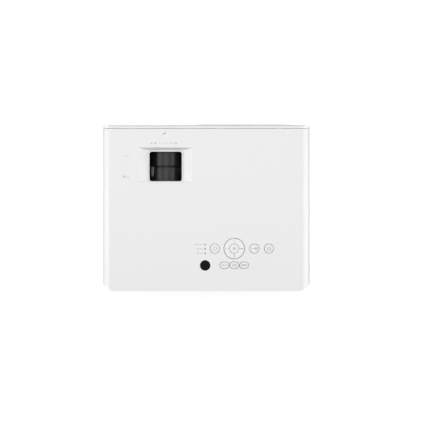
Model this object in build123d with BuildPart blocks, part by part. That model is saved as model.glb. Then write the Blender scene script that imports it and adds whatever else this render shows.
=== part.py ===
"""Desktop video projector with a built-in disc player.

Millimetres, +Z up.  The origin is on the plane that the feet stand on, in the middle of the
body's outline.  The front, with the lens and the disc tray, faces -Y and the sockets face +Y.
"""

import math
import os

from build123d import *

# --------------------------------------------------------------------------- driving sizes
# Body
body_width = 312.0
front_face = -123.5  # flat part of the front
rear_face = 125.5
case_base = 6.0
case_top = 109.5
wall = 2.5
side_round = 14.0  # long rounded edges of the top cover
rear_round = 8.0
front_round = 3.0
front_corner = 4.0
rear_cut_x = 12.5  # bevelled rear corners
rear_cut_y = 10.5
rear_soft = 8.0
parting_z = 46.0  # joint between the bottom case and the top cover
seam_gap = 0.5
bezel_depth = 4.7
lip_height = 2.4
lip_wall = 1.3
base_bevel = 2.0

# Bowed part of the front, round the disc tray
bow_left = -136.0
bow_flat_left = -98.0
bow_flat_right = 2.0
bow_right = 17.0
bow_depth = 2.0
bow_low = 14.0
bow_top_gap = 6.5  # from the bow up to the top face

# Lens and its two rings
lens_x = 61.4
lens_drop = 43.5  # lens axis below the top face
barrel_r = 24.5
barrel_bore = 22.0
barrel_front = -112.0
engine_front = -30.0
flange_r = 30.0
ring_r = 28.0
ring_clear = 0.3
focus_front = -90.0
ring_split = -62.1
ring_gap = 0.8
zoom_rear = -37.0
tab_angle = 43.6  # zoom tab, from upright towards +X
tab_width = 4.0
tab_height = 3.0
tab_length = 14.5
aperture_r = 32.8
trim_r = 36.0
trim_lip = 1.4

# Finger recess and window over the rings
recess_half = 39.8
recess_front = -90.0
recess_rear = -37.8
recess_depth = 8.5
recess_ramp = 12.5
recess_sag = 0.9
front_draft = 3.6
rear_draft = 0.4
window_x = 48.8
window_y = 44.7
window_mid_y = -62.0
window_round = 3.7
rim_width = 1.5
rim_height = 0.8

# Control panel on the top cover
panel_y = 61.6
nav_x = -42.0
nav_r = 15.0
nav_inner_r = 7.3
round_key_r = 6.6
ok_key_r = 6.8
power_x = -12.8
source_x = -72.2
blank_x = -93.9
oval_y = 86.6
oval_pitch = 14.8
oval_length = 12.9
oval_width = 9.1
key_gap = 0.35
nav_gap = 0.5
key_proud = 0.5
key_travel = 0.7
flange_wide = 2.0
flange_thick = 1.2
led_x = 1.8
led_y = 62.2
led_pitch = 6.7
led_r = 1.0
ir_x = 1.7
ir_y = 86.9
ir_r = 7.8
keypad_drop = 11.5  # underside of the key board below the top face
board_thick = 1.6
dome = 5.0
dome_height = 0.5
pivot_drop = 6.5  # pins of the navigation ring's gimbal below the top face
ok_drop = 5.1
ring_drop = 4.3
pin_r = 0.8

# Disc player
drive_x = -59.5
drive_width = 148.0
drive_front = -117.0
drive_rear = 51.0
drive_base = 24.5
drive_top = 52.0
sheet = 1.6
tray_side_gap = 8.0  # from the chassis's outside to the tray
tray_base = 35.0
tray_thick = 9.0
tray_front = -119.3
tray_rear = 48.0
disc_y = -47.0
disc_well_r = 61.0
disc_well_depth = 2.2
small_well_r = 41.0
small_well_depth = 0.9
tray_slot = 38.0
door_width = 140.0
door_height = 20.0
door_z = 40.0
door_gap = 0.5

# Tray drive: rack on the tray, the gear that pushes it and the motor's pinion
gear_module = 1.5
gear_teeth = 16
pinion_teeth = 10
gear_thick = 3.7
rack_teeth = 31
rack_in = 36.0  # pitch line of the rack inwards from the tray's right side
rack_thick = 4.0
rack_back = 3.0
backlash = 0.8
pressure = 24.0
gear_pin_r = 2.0
shaft_clear = 0.05
gear_y = -96.0

# Spinning and sliding parts of the player
turntable_r = 15.0
spindle_r = 11.0
sled_width = 33.0
sled_length = 30.0
sled_y = -16.0
rod_r = 1.5
rod_spread = 12.0
rod_z = 31.0
clamp_r = 15.0

# Feet
front_foot_x = 0.0
front_foot_y = -98.0
foot_r = 11.0
foot_stem_r = 4.0
foot_pad = 4.0
rear_foot_in = 26.0  # from the side of the body
rear_foot_y = 104.0
rear_foot_r = 9.0
foot_boss_top = 20.0

# Ceiling-mount inserts in the base
mount_x = 180.0
mount_y = 90.0
mount_hole_r = 2.0
mount_boss_r = 5.0
mount_boss_top = 17.0

# Case screws: one column of each pair stands on the base, the other hangs from the top
side_posts = [(16, -105), (10, 91)]  # inwards from the right side
left_post = (14, -105)
drive_post_gap = 7.5  # from the chassis to the axis of the post beside it
inner_posts = [(-119, 115), (78, 82)]
post_r = 4.2
screw_r = 1.5
screw_head_r = 2.9
screw_head = 2.0
screw_length = 34.0
screw_base = 14.0  # underside of the head, up inside the lower column

# Fans
fan_size = 60.0
fan_bore = 28.0
fan_hub_r = 11.0
fan_blades = 7
fan_side_gap = 5.0
exhaust_y = 83.5
exhaust_depth = 20.0
intake_y = -66.0
intake_depth = 15.0
fan_drop = 39.5  # fan axes below the top face

# Light engine
engine_left = 30.0
engine_side_gap = 28.0
engine_rear = 36.0
engine_below = 32.0  # under the lens axis
engine_above = 28.0
wheel_in = 16.0
wheel_drop = 15.0
wheel_r = 20.0
source_width = 36.0
source_off = 4.0  # middle of the light source past the colour wheel's axis
source_fin = 10.0
source_below = 42.0
source_above = 26.0
light_front = 44.0
light_rear = 98.0

# Rear sockets
socket_low = 12.0
socket_high = 41.0
panel_left = -106.0
panel_right = 60.0
main_board_z = 14.0
inlet_in = 52.0  # from the side of the body
inlet_width = 30.0
inlet_height = 24.0
inlet_z = 26.5
inlet_flange = 36.0

# Speaker behind the left side
speaker_y = -75.0
speaker_rise = 4.0  # above the fan axes
speaker_r = 18.3
speaker_cone_r = 15.0
speaker_magnet_r = 11.0
speaker_deep = 3.0
magnet_deep = 12.0

# --------------------------------------------------------------------------- derived places
half_width = body_width / 2
lens_z = case_top - lens_drop
keypad_z = case_top - keypad_drop
pivot_z = case_top - pivot_drop
bow_high = case_top - bow_top_gap
fan_z = case_top - fan_drop
rear_foot_x = half_width - rear_foot_in
post_places = [(half_width - inwards, y) for inwards, y in side_posts]
post_places += [(left_post[0] - half_width, left_post[1])] + inner_posts
post_places += [(drive_x + drive_width / 2 + drive_post_gap, -60)]
exhaust_x = fan_side_gap - half_width
intake_x = half_width - fan_side_gap - intake_depth
engine_right = half_width - engine_side_gap
engine_low = lens_z - engine_below
engine_high = lens_z + engine_above
wheel_x = engine_right - wheel_in
wheel_z = lens_z - wheel_drop
source_left = wheel_x + source_off - source_width / 2
source_right = source_left + source_width
source_low = lens_z - source_below
inlet_x = half_width - inlet_in
speaker_z = fan_z + speaker_rise
speaker_front = wall + 0.5 - half_width
floor_z = case_base + wall
roof_z = case_top - wall
bezel_back = front_face + bezel_depth
cover_front = bezel_back + seam_gap
recess_floor = case_top - recess_depth
tray_top = tray_base + tray_thick
gear_r = gear_module * gear_teeth / 2
pinion_r = gear_module * pinion_teeth / 2
half_drive = drive_width / 2
half_tray = half_drive - tray_side_gap
rack_face_x = drive_x + half_tray - rack_in
gear_x = rack_face_x - gear_r
gear_z = tray_base - rack_thick
pinion_x = gear_x - gear_r - pinion_r
key_base = keypad_z + board_thick + dome_height + key_travel + 0.1
flange_top = roof_z - 0.2
keys_round = [(power_x, "power"), (source_x, "source"), (blank_x, "blank")]
keys_oval = [(nav_x + oval_pitch, "back"), (nav_x, "menu"), (nav_x - oval_pitch, "info")]
nav_spots = [(13.2, 0), (-13.2, 0), (0, 13.2), (0, -13.2)]
mount_places = [(x, y) for x in (-mount_x / 2, mount_x / 2) for y in (-mount_y / 2, mount_y / 2)]


def export(built, name):
    """Label a finished piece and write it as one STEP file named after it."""
    built.part.label = name
    export_step(built.part, f"parts/{name}.step")


def box_between(low, high, mode=Mode.ADD):
    """A box from its lowest corner to its highest corner, in the current part."""
    size = [b - a for a, b in zip(low, high)]
    middle = [(b + a) / 2 for a, b in zip(low, high)]
    with Locations(tuple(middle)):
        Box(*size, mode=mode)


def box_at(places, size, mode=Mode.ADD):
    """Equal boxes round several middle points, in the current part."""
    with Locations(*places):
        Box(*size, mode=mode)


def columns(places, low, high, radius, mode=Mode.ADD):
    """Equal round columns at several (x, y) places, between two heights."""
    with Locations(*[(x, y, (low + high) / 2) for x, y in places]):
        Cylinder(radius, high - low, mode=mode)


def upright(x, y, low, high, radius, mode=Mode.ADD):
    """A round column between two heights."""
    with Locations((x, y, (low + high) / 2)):
        Cylinder(radius, high - low, mode=mode)


def along_x(y, z, low, high, radius, mode=Mode.ADD):
    """A round bar along X."""
    with Locations(Location(((low + high) / 2, y, z), (0, 90, 0))):
        Cylinder(radius, high - low, mode=mode)


def along_y(x, z, low, high, radius, mode=Mode.ADD):
    """A round bar along Y."""
    with Locations(Location((x, (low + high) / 2, z), (90, 0, 0))):
        Cylinder(radius, high - low, mode=mode)


def case_block(inset, low, high):
    """The body shrunk by inset all round, kept between two heights."""
    half = half_width - inset
    front = front_face + inset
    rear = rear_face - inset
    top = case_top - inset
    base = case_base + inset
    bevel = max(base_bevel - inset, 0.5)
    with BuildPart() as block:
        with BuildSketch(Plane.XY.offset(low)):
            with BuildLine():
                Polyline(
                    (-half, front),
                    (half, front),
                    (half, rear - rear_cut_y),
                    (half - rear_cut_x, rear),
                    (rear_cut_x - half, rear),
                    (-half, rear - rear_cut_y),
                    close=True,
                )
            outline = make_face()
            corners = outline.vertices().group_by(Axis.Y)
            fillet(corners[0], max(front_corner - inset, 0.5))
            fillet(corners[1] + corners[2], rear_soft)
        extrude(amount=high - low)
        with BuildSketch(Plane.XZ.offset(-rear)):
            with BuildLine():
                Polyline(
                    (bevel - half, base),
                    (half - bevel, base),
                    (half, base + bevel),
                    (half, top),
                    (-half, top),
                    (-half, base + bevel),
                    close=True,
                )
            section = make_face()
            fillet(section.vertices().group_by(Axis.Y)[-1], side_round - inset)
        extrude(amount=rear - front, mode=Mode.INTERSECT)
        with BuildSketch(Plane.YZ.offset(-half)):
            with BuildLine():
                Polyline(
                    (front + bevel, base),
                    (rear - bevel, base),
                    (rear, base + bevel),
                    (rear, top),
                    (front, top),
                    (front, base + bevel),
                    close=True,
                )
            side = make_face()
            upper = side.vertices().group_by(Axis.Y)[-1].sort_by(Axis.X)
            fillet(upper[0], max(front_round - inset, 0.5))
            fillet(upper[1], rear_round - inset)
        extrude(amount=2 * half, mode=Mode.INTERSECT)
    return block.part


def bow_block(back, low, high):
    """The bowed front, from a flat back to the curved face, between two heights."""
    bow_face = front_face - bow_depth
    with BuildPart() as bow:
        with BuildSketch(Plane.XY.offset(low)):
            with BuildLine():
                Line((bow_flat_left, bow_face), (bow_flat_right, bow_face))
                TangentArc((bow_flat_right, bow_face), (bow_right, front_face), tangent=(1, 0))
                Line((bow_right, front_face), (bow_right, back))
                Line((bow_right, back), (bow_left, back))
                Line((bow_left, back), (bow_left, front_face))
                TangentArc((bow_flat_left, bow_face), (bow_left, front_face), tangent=(-1, 0))
            make_face()
        extrude(amount=high - low)
    return bow.part


def tooth_outline(teeth, tooth, phase):
    """Points of one straight-sided tooth of a gear centred on the origin."""
    pitch_r = gear_module * teeth / 2
    tip = gear_module * 0.85
    root = gear_module * 1.15
    half_tooth = math.pi * gear_module / 4 - backlash / 4
    slope = math.tan(math.radians(pressure))
    middle = phase + 2 * math.pi * tooth / teeth
    points = []
    corners = ((pitch_r - root - 1, -1), (pitch_r - root, -1), (pitch_r + tip, -1))
    corners += ((pitch_r + tip, 1), (pitch_r - root, 1), (pitch_r - root - 1, 1))
    for radius, side in corners:
        rise = max(radius, pitch_r - root) - pitch_r
        angle = middle + side * (half_tooth - slope * rise) / max(radius, pitch_r - root)
        points.append((radius * math.cos(angle), radius * math.sin(angle)))
    return points


def spur_gear(middle_x, teeth, phase, bore_r):
    """A flat spur gear with a round bore, in the current part."""
    with BuildSketch(Plane.XY.offset(gear_z)) as outline:
        with Locations((middle_x, gear_y)):
            Circle(gear_module * (teeth / 2 - 1.15))
            Circle(bore_r, mode=Mode.SUBTRACT)
        for tooth in range(teeth):
            points = [(middle_x + x, gear_y + y) for x, y in tooth_outline(teeth, tooth, phase)]
            with BuildLine():
                Polyline(*points, close=True)
            make_face()
    extrude(outline.sketch, amount=gear_thick)


def rack_outline():
    """Points of the rack: a plain back and straight-sided teeth that face -X."""
    pitch = math.pi * gear_module
    tip = gear_module * 0.85
    root = gear_module * 1.15
    half_tooth = pitch / 4 - backlash / 4
    slope = math.tan(math.radians(pressure))
    first = gear_y - pitch / 2
    points = [(rack_face_x + root + rack_back, first - pitch / 2 - half_tooth)]
    for tooth in range(rack_teeth):
        middle = first + pitch * tooth
        points.append((rack_face_x + root, middle - half_tooth - slope * root))
        points.append((rack_face_x - tip, middle - half_tooth + slope * tip))
        points.append((rack_face_x - tip, middle + half_tooth - slope * tip))
        points.append((rack_face_x + root, middle + half_tooth + slope * root))
    points.append((rack_face_x + root + rack_back, first + pitch * (rack_teeth - 1) + pitch / 2))
    return points


def prism(points, low, high):
    """An upright prism over a closed outline, in the current part."""
    with BuildSketch(Plane.XY.offset(low)) as outline:
        with BuildLine():
            Polyline(*points, close=True)
        make_face()
    extrude(outline.sketch, amount=high - low)


def turned_about_lens(points):
    """A ring or rod turned about the lens axis from (radius, y) points, in the current part."""
    with BuildSketch(Plane(origin=(lens_x, 0, lens_z), x_dir=(1, 0, 0), z_dir=(0, 0, 1))) as half:
        with BuildLine():
            Polyline(*points, close=True)
        make_face()
    revolve(half.sketch, axis=Axis((lens_x, 0, lens_z), (0, 1, 0)))


os.makedirs("parts", exist_ok=True)
outer_block = case_block(0, case_base, case_top)
inner_block = case_block(wall, floor_z, roof_z)
tongue_block = case_block(wall - lip_wall, parting_z - seam_gap, parting_z + lip_height)
groove_block = case_block(wall - lip_wall - 0.15, parting_z, parting_z + lip_height + 0.3)

# --------------------------------------------------------------------------- top cover
ramp_low = recess_half - recess_ramp


def recess_shape(grow, drop, front, rear):
    """The finger recess, grown sideways and dropped, with its ramps, drafted front and rear."""
    half = recess_half + grow
    floor_half = ramp_low + grow
    rim = case_top - drop
    floor = recess_floor - drop
    mid_half = (half + floor_half) / 2
    mid_z = (rim + floor) / 2 - recess_sag
    with BuildPart() as hollow:
        with BuildSketch(Plane.XZ.offset(-rear)):
            with BuildLine():
                Line((lens_x - floor_half, floor), (lens_x + floor_half, floor))
                left = lens_x - half
                right = lens_x + half
                ThreePointArc((lens_x + floor_half, floor), (lens_x + mid_half, mid_z), (right, rim))
                Polyline((right, rim), (right, rim + 2), (left, rim + 2), (left, rim))
                ThreePointArc((left, rim), (lens_x - mid_half, mid_z), (lens_x - floor_half, floor))
            make_face()
        extrude(amount=rear - front)
        with BuildSketch(Plane.YZ.offset(lens_x - half)):
            with BuildLine():
                Polyline(
                    (front, rim + 2),
                    (front, rim),
                    (front + front_draft, floor),
                    (rear - rear_draft, floor),
                    (rear, rim),
                    (rear, rim + 2),
                    close=True,
                )
            make_face()
        extrude(amount=2 * half, mode=Mode.INTERSECT)
    return hollow.part


recess_pan = recess_shape(wall, wall, recess_front - wall, recess_rear + wall)
recess_cut = recess_shape(0, 0, recess_front, recess_rear)
vent_rows = range(9)
vent_pitch = 5.0
vent_low = fan_z - 17
vent_height = 2.4
lug_near = nav_r + nav_gap + 0.3
lug_far = lug_near + 2.6

with BuildPart() as top_cover:
    add(outer_block)
    add(inner_block, mode=Mode.SUBTRACT)
    box_between((-half_width, cover_front, parting_z), (half_width, rear_face, case_top), Mode.INTERSECT)
    add(groove_block, mode=Mode.SUBTRACT)
    add(recess_pan)
    add(recess_cut, mode=Mode.SUBTRACT)
    with BuildSketch(Plane.XY.offset(recess_floor - wall)):
        with Locations((lens_x, window_mid_y)):
            RectangleRounded(window_x + 2 * rim_width, window_y + 2 * rim_width, window_round + rim_width)
    extrude(amount=wall + rim_height)
    with BuildSketch(Plane.XY.offset(recess_floor - 2 * wall)):
        with Locations((lens_x, window_mid_y)):
            RectangleRounded(window_x, window_y, window_round)
    extrude(amount=4 * wall, mode=Mode.SUBTRACT)
    key_places = [(key_x, panel_y) for key_x, _ in keys_round]
    led_places = [(led_x, led_y + step * led_pitch) for step in (-1, 0, 1)]
    columns(key_places, roof_z - 1, case_top + 1, round_key_r + key_gap, Mode.SUBTRACT)
    upright(nav_x, panel_y, roof_z - 1, case_top + 1, nav_r + nav_gap, Mode.SUBTRACT)
    upright(ir_x, ir_y, roof_z - 1, case_top + 1, ir_r + 0.1, Mode.SUBTRACT)
    columns(led_places, roof_z - 1, case_top + 1, led_r + 0.05, Mode.SUBTRACT)
    with BuildSketch(Plane.XY.offset(roof_z - 1)):
        with Locations(*[(key_x, oval_y) for key_x, _ in keys_oval]):
            SlotOverall(oval_length + 2 * key_gap, oval_width + 2 * key_gap)
    extrude(amount=wall + 2, mode=Mode.SUBTRACT)
    # Lugs that carry the navigation ring's gimbal
    lug_z = (roof_z + pivot_z - 2) / 2
    lug_mid = (lug_near + lug_far) / 2
    with Locations(Location((nav_x, panel_y, 0), (0, 0, 45))):
        with Locations((lug_mid, 0, lug_z), (-lug_mid, 0, lug_z)):
            Box(lug_far - lug_near, 4, roof_z - pivot_z + 2)
    with Locations(Location((nav_x, panel_y, pivot_z), (0, 0, 45))):
        with Locations(Location((0, 0, 0), (0, 90, 0))):
            Cylinder(pin_r + shaft_clear, 2 * lug_far + 2, mode=Mode.SUBTRACT)
    # Columns for the keypad board and the screws
    peg_z = (keypad_z + board_thick + roof_z) / 2
    pegs = [(x, y, peg_z) for x in (-103, 12) for y in (53, 92)]
    box_at(pegs, (4, 4, roof_z - keypad_z - board_thick))
    columns(post_places, parting_z - 4, roof_z, post_r)
    columns(post_places, parting_z - 5, parting_z + 10, screw_r + 0.05, Mode.SUBTRACT)
    # Louvres over both fans and slots over the speaker
    rows = [vent_low + row * vent_pitch for row in vent_rows]
    left_slots = [(-half_width, exhaust_y + side * 13, z) for z in rows for side in (-1, 1)]
    left_slots += [(-half_width, speaker_y, z) for z in rows[1:7]]
    box_at(left_slots, (6, 23, vent_height), Mode.SUBTRACT)
    right_slots = [(half_width, intake_y + side * 14, z) for z in rows for side in (-1, 1, 3)]
    box_at(right_slots, (6, 24, vent_height), Mode.SUBTRACT)
    # Seat of the speaker
    seat_rear = speaker_front + speaker_deep
    along_x(speaker_y, speaker_z, wall - 0.5 - half_width, seat_rear, speaker_r + wall + 0.2)
    along_x(speaker_y, speaker_z, wall - 0.1 - half_width, seat_rear + 1, speaker_r + 0.2, Mode.SUBTRACT)
export(top_cover, "top_cover")

# --------------------------------------------------------------------------- bottom case
with BuildPart() as bottom_case:
    add(outer_block)
    add(inner_block, mode=Mode.SUBTRACT)
    low_top = parting_z - seam_gap
    box_between((-half_width, cover_front, case_base), (half_width, rear_face, low_top), Mode.INTERSECT)
    with BuildPart(mode=Mode.PRIVATE) as tongue:
        add(tongue_block)
        add(inner_block, mode=Mode.SUBTRACT)
        box_between((-half_width, cover_front, case_base), (half_width, rear_face, case_top), Mode.INTERSECT)
    add(tongue.part)
    columns(post_places, floor_z, parting_z - 4.2, post_r)
    columns(post_places, case_base, screw_base, screw_head_r + 0.2, Mode.SUBTRACT)
    columns(post_places, case_base, parting_z, screw_r + 0.3, Mode.SUBTRACT)
    columns(mount_places, floor_z, mount_boss_top, mount_boss_r)
    columns(mount_places, case_base, mount_boss_top, mount_hole_r, Mode.SUBTRACT)
    foot_places = [(front_foot_x, front_foot_y), (-rear_foot_x, rear_foot_y)]
    columns(foot_places, floor_z, foot_boss_top, foot_stem_r + 3)
    columns(foot_places, case_base, foot_boss_top, foot_stem_r + shaft_clear, Mode.SUBTRACT)
    # Stands for the player, the light engine, the main board, the light source and the fans
    drive_stand = (floor_z + drive_base) / 2
    reach = half_drive - 12
    stands = [(drive_x + side * reach, y, drive_stand) for side in (-1, 1) for y in (-78, 38)]
    box_at(stands, (8, 8, drive_base - floor_z))
    engine_stand = (floor_z + engine_low) / 2
    engine_corners = [(x, y) for x in (engine_left + 6, engine_right - 6) for y in (-24, 30)]
    stands = [(x, y, engine_stand) for x, y in engine_corners]
    box_at(stands, (8, 8, engine_low - floor_z))
    board_stand = (floor_z + main_board_z) / 2
    stands = [(x, y, board_stand) for x in (-106, 60) for y in (60, 114)]
    box_at(stands, (6, 6, main_board_z - floor_z))
    source_mid = (source_left + source_right) / 2
    source_stand = (floor_z + source_low) / 2
    box_at([(source_mid, y, source_stand) for y in (54, 86)], (32, 4, source_low - floor_z))
    fan_stand = (floor_z + fan_z - 30) / 2
    stands = [(exhaust_x + 10, exhaust_y - 20, fan_stand), (exhaust_x + 10, exhaust_y + 8, fan_stand)]
    stands += [(intake_x + 7.5, intake_y - 20, fan_stand), (intake_x + 7.5, intake_y + 20, fan_stand)]
    box_at(stands, (13, 3, fan_z - 30 - floor_z))
    # Floor slots under the light engine
    floor_slots = [(48 + 8 * step, 4, case_base + 1) for step in range(9)]
    box_at(floor_slots, (3, 36, 6), Mode.SUBTRACT)
    # Openings for the socket panel and the mains inlet
    box_between((panel_left, 120, socket_low + 1.5), (panel_right, 127, socket_high - 1.5), Mode.SUBTRACT)
    inlet_low = (inlet_x - inlet_width / 2, 120, inlet_z - inlet_height / 2)
    inlet_high = (inlet_x + inlet_width / 2, 127, inlet_z + inlet_height / 2)
    box_between(inlet_low, inlet_high, Mode.SUBTRACT)
export(bottom_case, "bottom_case")

# --------------------------------------------------------------------------- front and rear panels
door_left = drive_x - door_width / 2
door_right = drive_x + door_width / 2
door_low = door_z - door_height / 2
door_high = door_z + door_height / 2
eject_x = 21.0
eject_z = 34.0
eject_r = 3.5
front_ir_x = half_width - 33
front_ir_z = 88.0
front_ir_long = 24.0
front_ir_high = 8.0
louvre_columns = (-112, -78, -44, -10)
louvre_rows = range(6)
inner_front = front_face + wall

with BuildPart() as front_bezel:
    add(outer_block)
    add(inner_block, mode=Mode.SUBTRACT)
    box_between((-half_width, front_face - 1, case_base), (half_width, bezel_back, case_top), Mode.INTERSECT)
    add(bow_block(front_face + 1, bow_low, bow_high))
    door_opening = (door_left - door_gap, front_face - 5, door_low - door_gap)
    box_between(door_opening, (door_right + door_gap, inner_front + 1, door_high + door_gap), Mode.SUBTRACT)
    louvres = [(x, front_face, 60 + 6 * row) for x in louvre_columns for row in louvre_rows]
    box_at(louvres, (31, 9, 3), Mode.SUBTRACT)
    along_y(lens_x, lens_z, front_face - 1, inner_front + 1, aperture_r + 0.1, Mode.SUBTRACT)
    along_y(lens_x, lens_z, front_face - 1, front_face + trim_lip, trim_r + 0.1, Mode.SUBTRACT)
    along_y(eject_x, eject_z, front_face - 3, inner_front + 1, eject_r + 0.3, Mode.SUBTRACT)
    with BuildSketch(Plane.XZ.offset(-inner_front - 1)):
        with Locations((front_ir_x, front_ir_z)):
            SlotOverall(front_ir_long + 0.2, front_ir_high + 0.2)
    extrude(amount=wall + 3, mode=Mode.SUBTRACT)
    # Clips that reach into the top cover and the bottom case
    clip_y = (inner_front - 112) / 2
    clips = [(x, clip_y, roof_z - 0.9) for x in (-110, -20, 110)]
    clips += [(x, clip_y, floor_z + 0.9) for x in (-110, 60, 110)]
    box_at(clips, (10, -112 - inner_front, 1.4))
export(front_bezel, "front_bezel")

hdmi_places = (-90, -66)
d_sub_places = (-36, 0)
usb_x = 26.0
jack_places = (42, 53)
jack_z = 22.0
jack_bore = 1.8
port_front = 106.0
port_rear = 124.9
port_low = main_board_z + board_thick
hdmi_size = (15.0, 6.0)
d_sub_size = (31.0, 12.5)
usb_size = (13.0, 6.0)

with BuildPart() as rear_panel:
    box_between((panel_left - 4, 121, socket_low - 1.5), (panel_right + 4, 123, socket_high + 1.5))
    box_between((panel_left + 0.2, 123, socket_low + 1.7), (panel_right - 0.2, 124.5, socket_high - 1.7))
    hdmi_holes = [(x, 123, port_low + hdmi_size[1] / 2) for x in hdmi_places]
    box_at(hdmi_holes, (hdmi_size[0] + 0.4, 6, hdmi_size[1] + 0.4), Mode.SUBTRACT)
    d_sub_holes = [(x, 123, port_low + d_sub_size[1] / 2) for x in d_sub_places]
    box_at(d_sub_holes, (d_sub_size[0] + 0.4, 6, d_sub_size[1] + 0.4), Mode.SUBTRACT)
    usb_hole = (usb_x, 123, port_low + usb_size[1] / 2)
    box_at([usb_hole], (usb_size[0] + 0.4, 6, usb_size[1] + 0.4), Mode.SUBTRACT)
    for jack_x in jack_places:
        along_y(jack_x, jack_z, 120, 126, 4.1, Mode.SUBTRACT)
export(rear_panel, "rear_panel")

with BuildPart() as hdmi_ports:
    port_mid = (port_front + port_rear) / 2
    port_long = port_rear - port_front
    hdmi_bodies = [(x, port_mid, port_low + hdmi_size[1] / 2) for x in hdmi_places]
    box_at(hdmi_bodies, (hdmi_size[0], port_long, hdmi_size[1]))
    box_at([(x, port_rear, port_low + 3) for x in hdmi_places], (14, 16, 4.6), Mode.SUBTRACT)
    box_at([(x, port_rear - 6, port_low + 3.4) for x in hdmi_places], (10, 5, 1))
    box_at([(x, port_rear - 10, port_low + 3) for x in hdmi_places], (12, 5, 3))
export(hdmi_ports, "hdmi_ports")

with BuildPart() as d_sub_ports:
    d_sub_bodies = [(x, 114.5, port_low + d_sub_size[1] / 2) for x in d_sub_places]
    box_at(d_sub_bodies, (d_sub_size[0], 17, d_sub_size[1]))
    box_at([(x, 124, port_low + 6.2) for x in d_sub_places], (17, 4, 8.4))
    box_at([(x, 128, port_low + 6.2) for x in d_sub_places], (15.4, 6, 6.8), Mode.SUBTRACT)
    stud_places = [(x + side * 12.5, 123.4, port_low + 6.2) for x in d_sub_places for side in (-1, 1)]
    box_at(stud_places, (4.4, 3, 4.4))
export(d_sub_ports, "d_sub_ports")

with BuildPart() as usb_port:
    box_at([(usb_x, port_mid, port_low + 3)], (usb_size[0], port_long, usb_size[1]))
    box_at([(usb_x, port_rear, port_low + 3)], (12, 22, 4.8), Mode.SUBTRACT)
    box_at([(usb_x, port_rear - 6, port_low + 4)], (10, 10, 1.6))
    box_at([(usb_x, port_rear - 10.5, port_low + 3)], (12, 1, 4.8))
export(usb_port, "usb_port")

with BuildPart() as audio_jacks:
    for jack_x in jack_places:
        box_between((jack_x - 5, 107, port_low), (jack_x + 5, 121, jack_z + 5))
        along_y(jack_x, jack_z, 120, port_rear, 4)
        along_y(jack_x, jack_z, 110, 126, jack_bore, Mode.SUBTRACT)
export(audio_jacks, "audio_jacks")

with BuildPart() as ac_inlet:
    flange_half = inlet_flange / 2
    box_between((inlet_x - flange_half, 121, inlet_z - 15.5), (inlet_x + flange_half, 123, inlet_z + 15.5))
    inlet_half = inlet_width / 2 - 0.2
    inlet_rise = inlet_height / 2 - 0.2
    body_low = (inlet_x - inlet_half, 106, inlet_z - inlet_rise)
    box_between(body_low, (inlet_x + inlet_half, 125.3, inlet_z + inlet_rise))
    hollow_low = (inlet_x - inlet_half + 2.5, 111, inlet_z - 8.5)
    box_between(hollow_low, (inlet_x + inlet_half - 2.5, 126, inlet_z + 8.5), Mode.SUBTRACT)
export(ac_inlet, "ac_inlet")

with BuildPart() as ac_inlet_pins:
    pins = [(inlet_x + side * 7, 116, inlet_z - 0.5) for side in (-1, 1)]
    box_at(pins + [(inlet_x, 116, inlet_z + 3.5)], (2, 10, 4))
export(ac_inlet_pins, "ac_inlet_pins")

with BuildPart() as lens_trim_ring:
    turned_about_lens(
        [
            (trim_r, front_face + 0.1),
            (trim_r, front_face + trim_lip),
            (aperture_r, front_face + trim_lip),
            (aperture_r, -114.5),
            (27.5, -114.5),
            (27.5, -116),
            (31.4, front_face + trim_lip + 0.6),
            (34.2, front_face + 0.1),
        ]
    )
export(lens_trim_ring, "lens_trim_ring")

with BuildPart() as ir_window_top:
    upright(ir_x, ir_y, roof_z - 1, case_top - 0.1, ir_r)
export(ir_window_top, "ir_window_top")

with BuildPart() as ir_window_front:
    with BuildSketch(Plane.XZ.offset(-inner_front)):
        with Locations((front_ir_x, front_ir_z)):
            SlotOverall(front_ir_long, front_ir_high)
    extrude(amount=wall + 0.8)
export(ir_window_front, "ir_window_front")

with BuildPart() as led_light_pipes:
    columns(led_places, keypad_z + board_thick, case_top, led_r)
export(led_light_pipes, "led_light_pipes")

with BuildPart() as case_screws:
    columns(post_places, screw_base - screw_head, screw_base, screw_head_r)
    columns(post_places, screw_base, screw_base + screw_length, screw_r)
export(case_screws, "case_screws")

# --------------------------------------------------------------------------- feet
with BuildPart() as front_foot:
    upright(front_foot_x, front_foot_y, 0, foot_pad, foot_r)
    upright(front_foot_x, front_foot_y, foot_pad, foot_boss_top + 2, foot_stem_r)
export(front_foot, "front_foot")

with BuildPart() as rear_foot_adjuster:
    upright(-rear_foot_x, rear_foot_y, 0, foot_pad, rear_foot_r)
    upright(-rear_foot_x, rear_foot_y, foot_pad, foot_boss_top + 2, foot_stem_r)
export(rear_foot_adjuster, "rear_foot_adjuster")

with BuildPart() as rear_foot_fixed:
    upright(rear_foot_x, rear_foot_y, 0, case_base, rear_foot_r)
export(rear_foot_fixed, "rear_foot_fixed")

# --------------------------------------------------------------------------- lens
with BuildPart() as lens_barrel:
    turned_about_lens(
        [
            (barrel_bore, barrel_front),
            (barrel_r, barrel_front),
            (barrel_r, zoom_rear + ring_clear),
            (flange_r, zoom_rear + ring_clear),
            (flange_r, engine_front),
            (barrel_bore, engine_front),
        ]
    )
export(lens_barrel, "lens_barrel")

with BuildPart() as lens_retainer:
    turned_about_lens(
        [
            (barrel_r + shaft_clear, focus_front - 2.5),
            (27.0, focus_front - 2.5),
            (27.0, focus_front - ring_clear),
            (barrel_r + shaft_clear, focus_front - ring_clear),
        ]
    )
export(lens_retainer, "lens_retainer")

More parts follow.
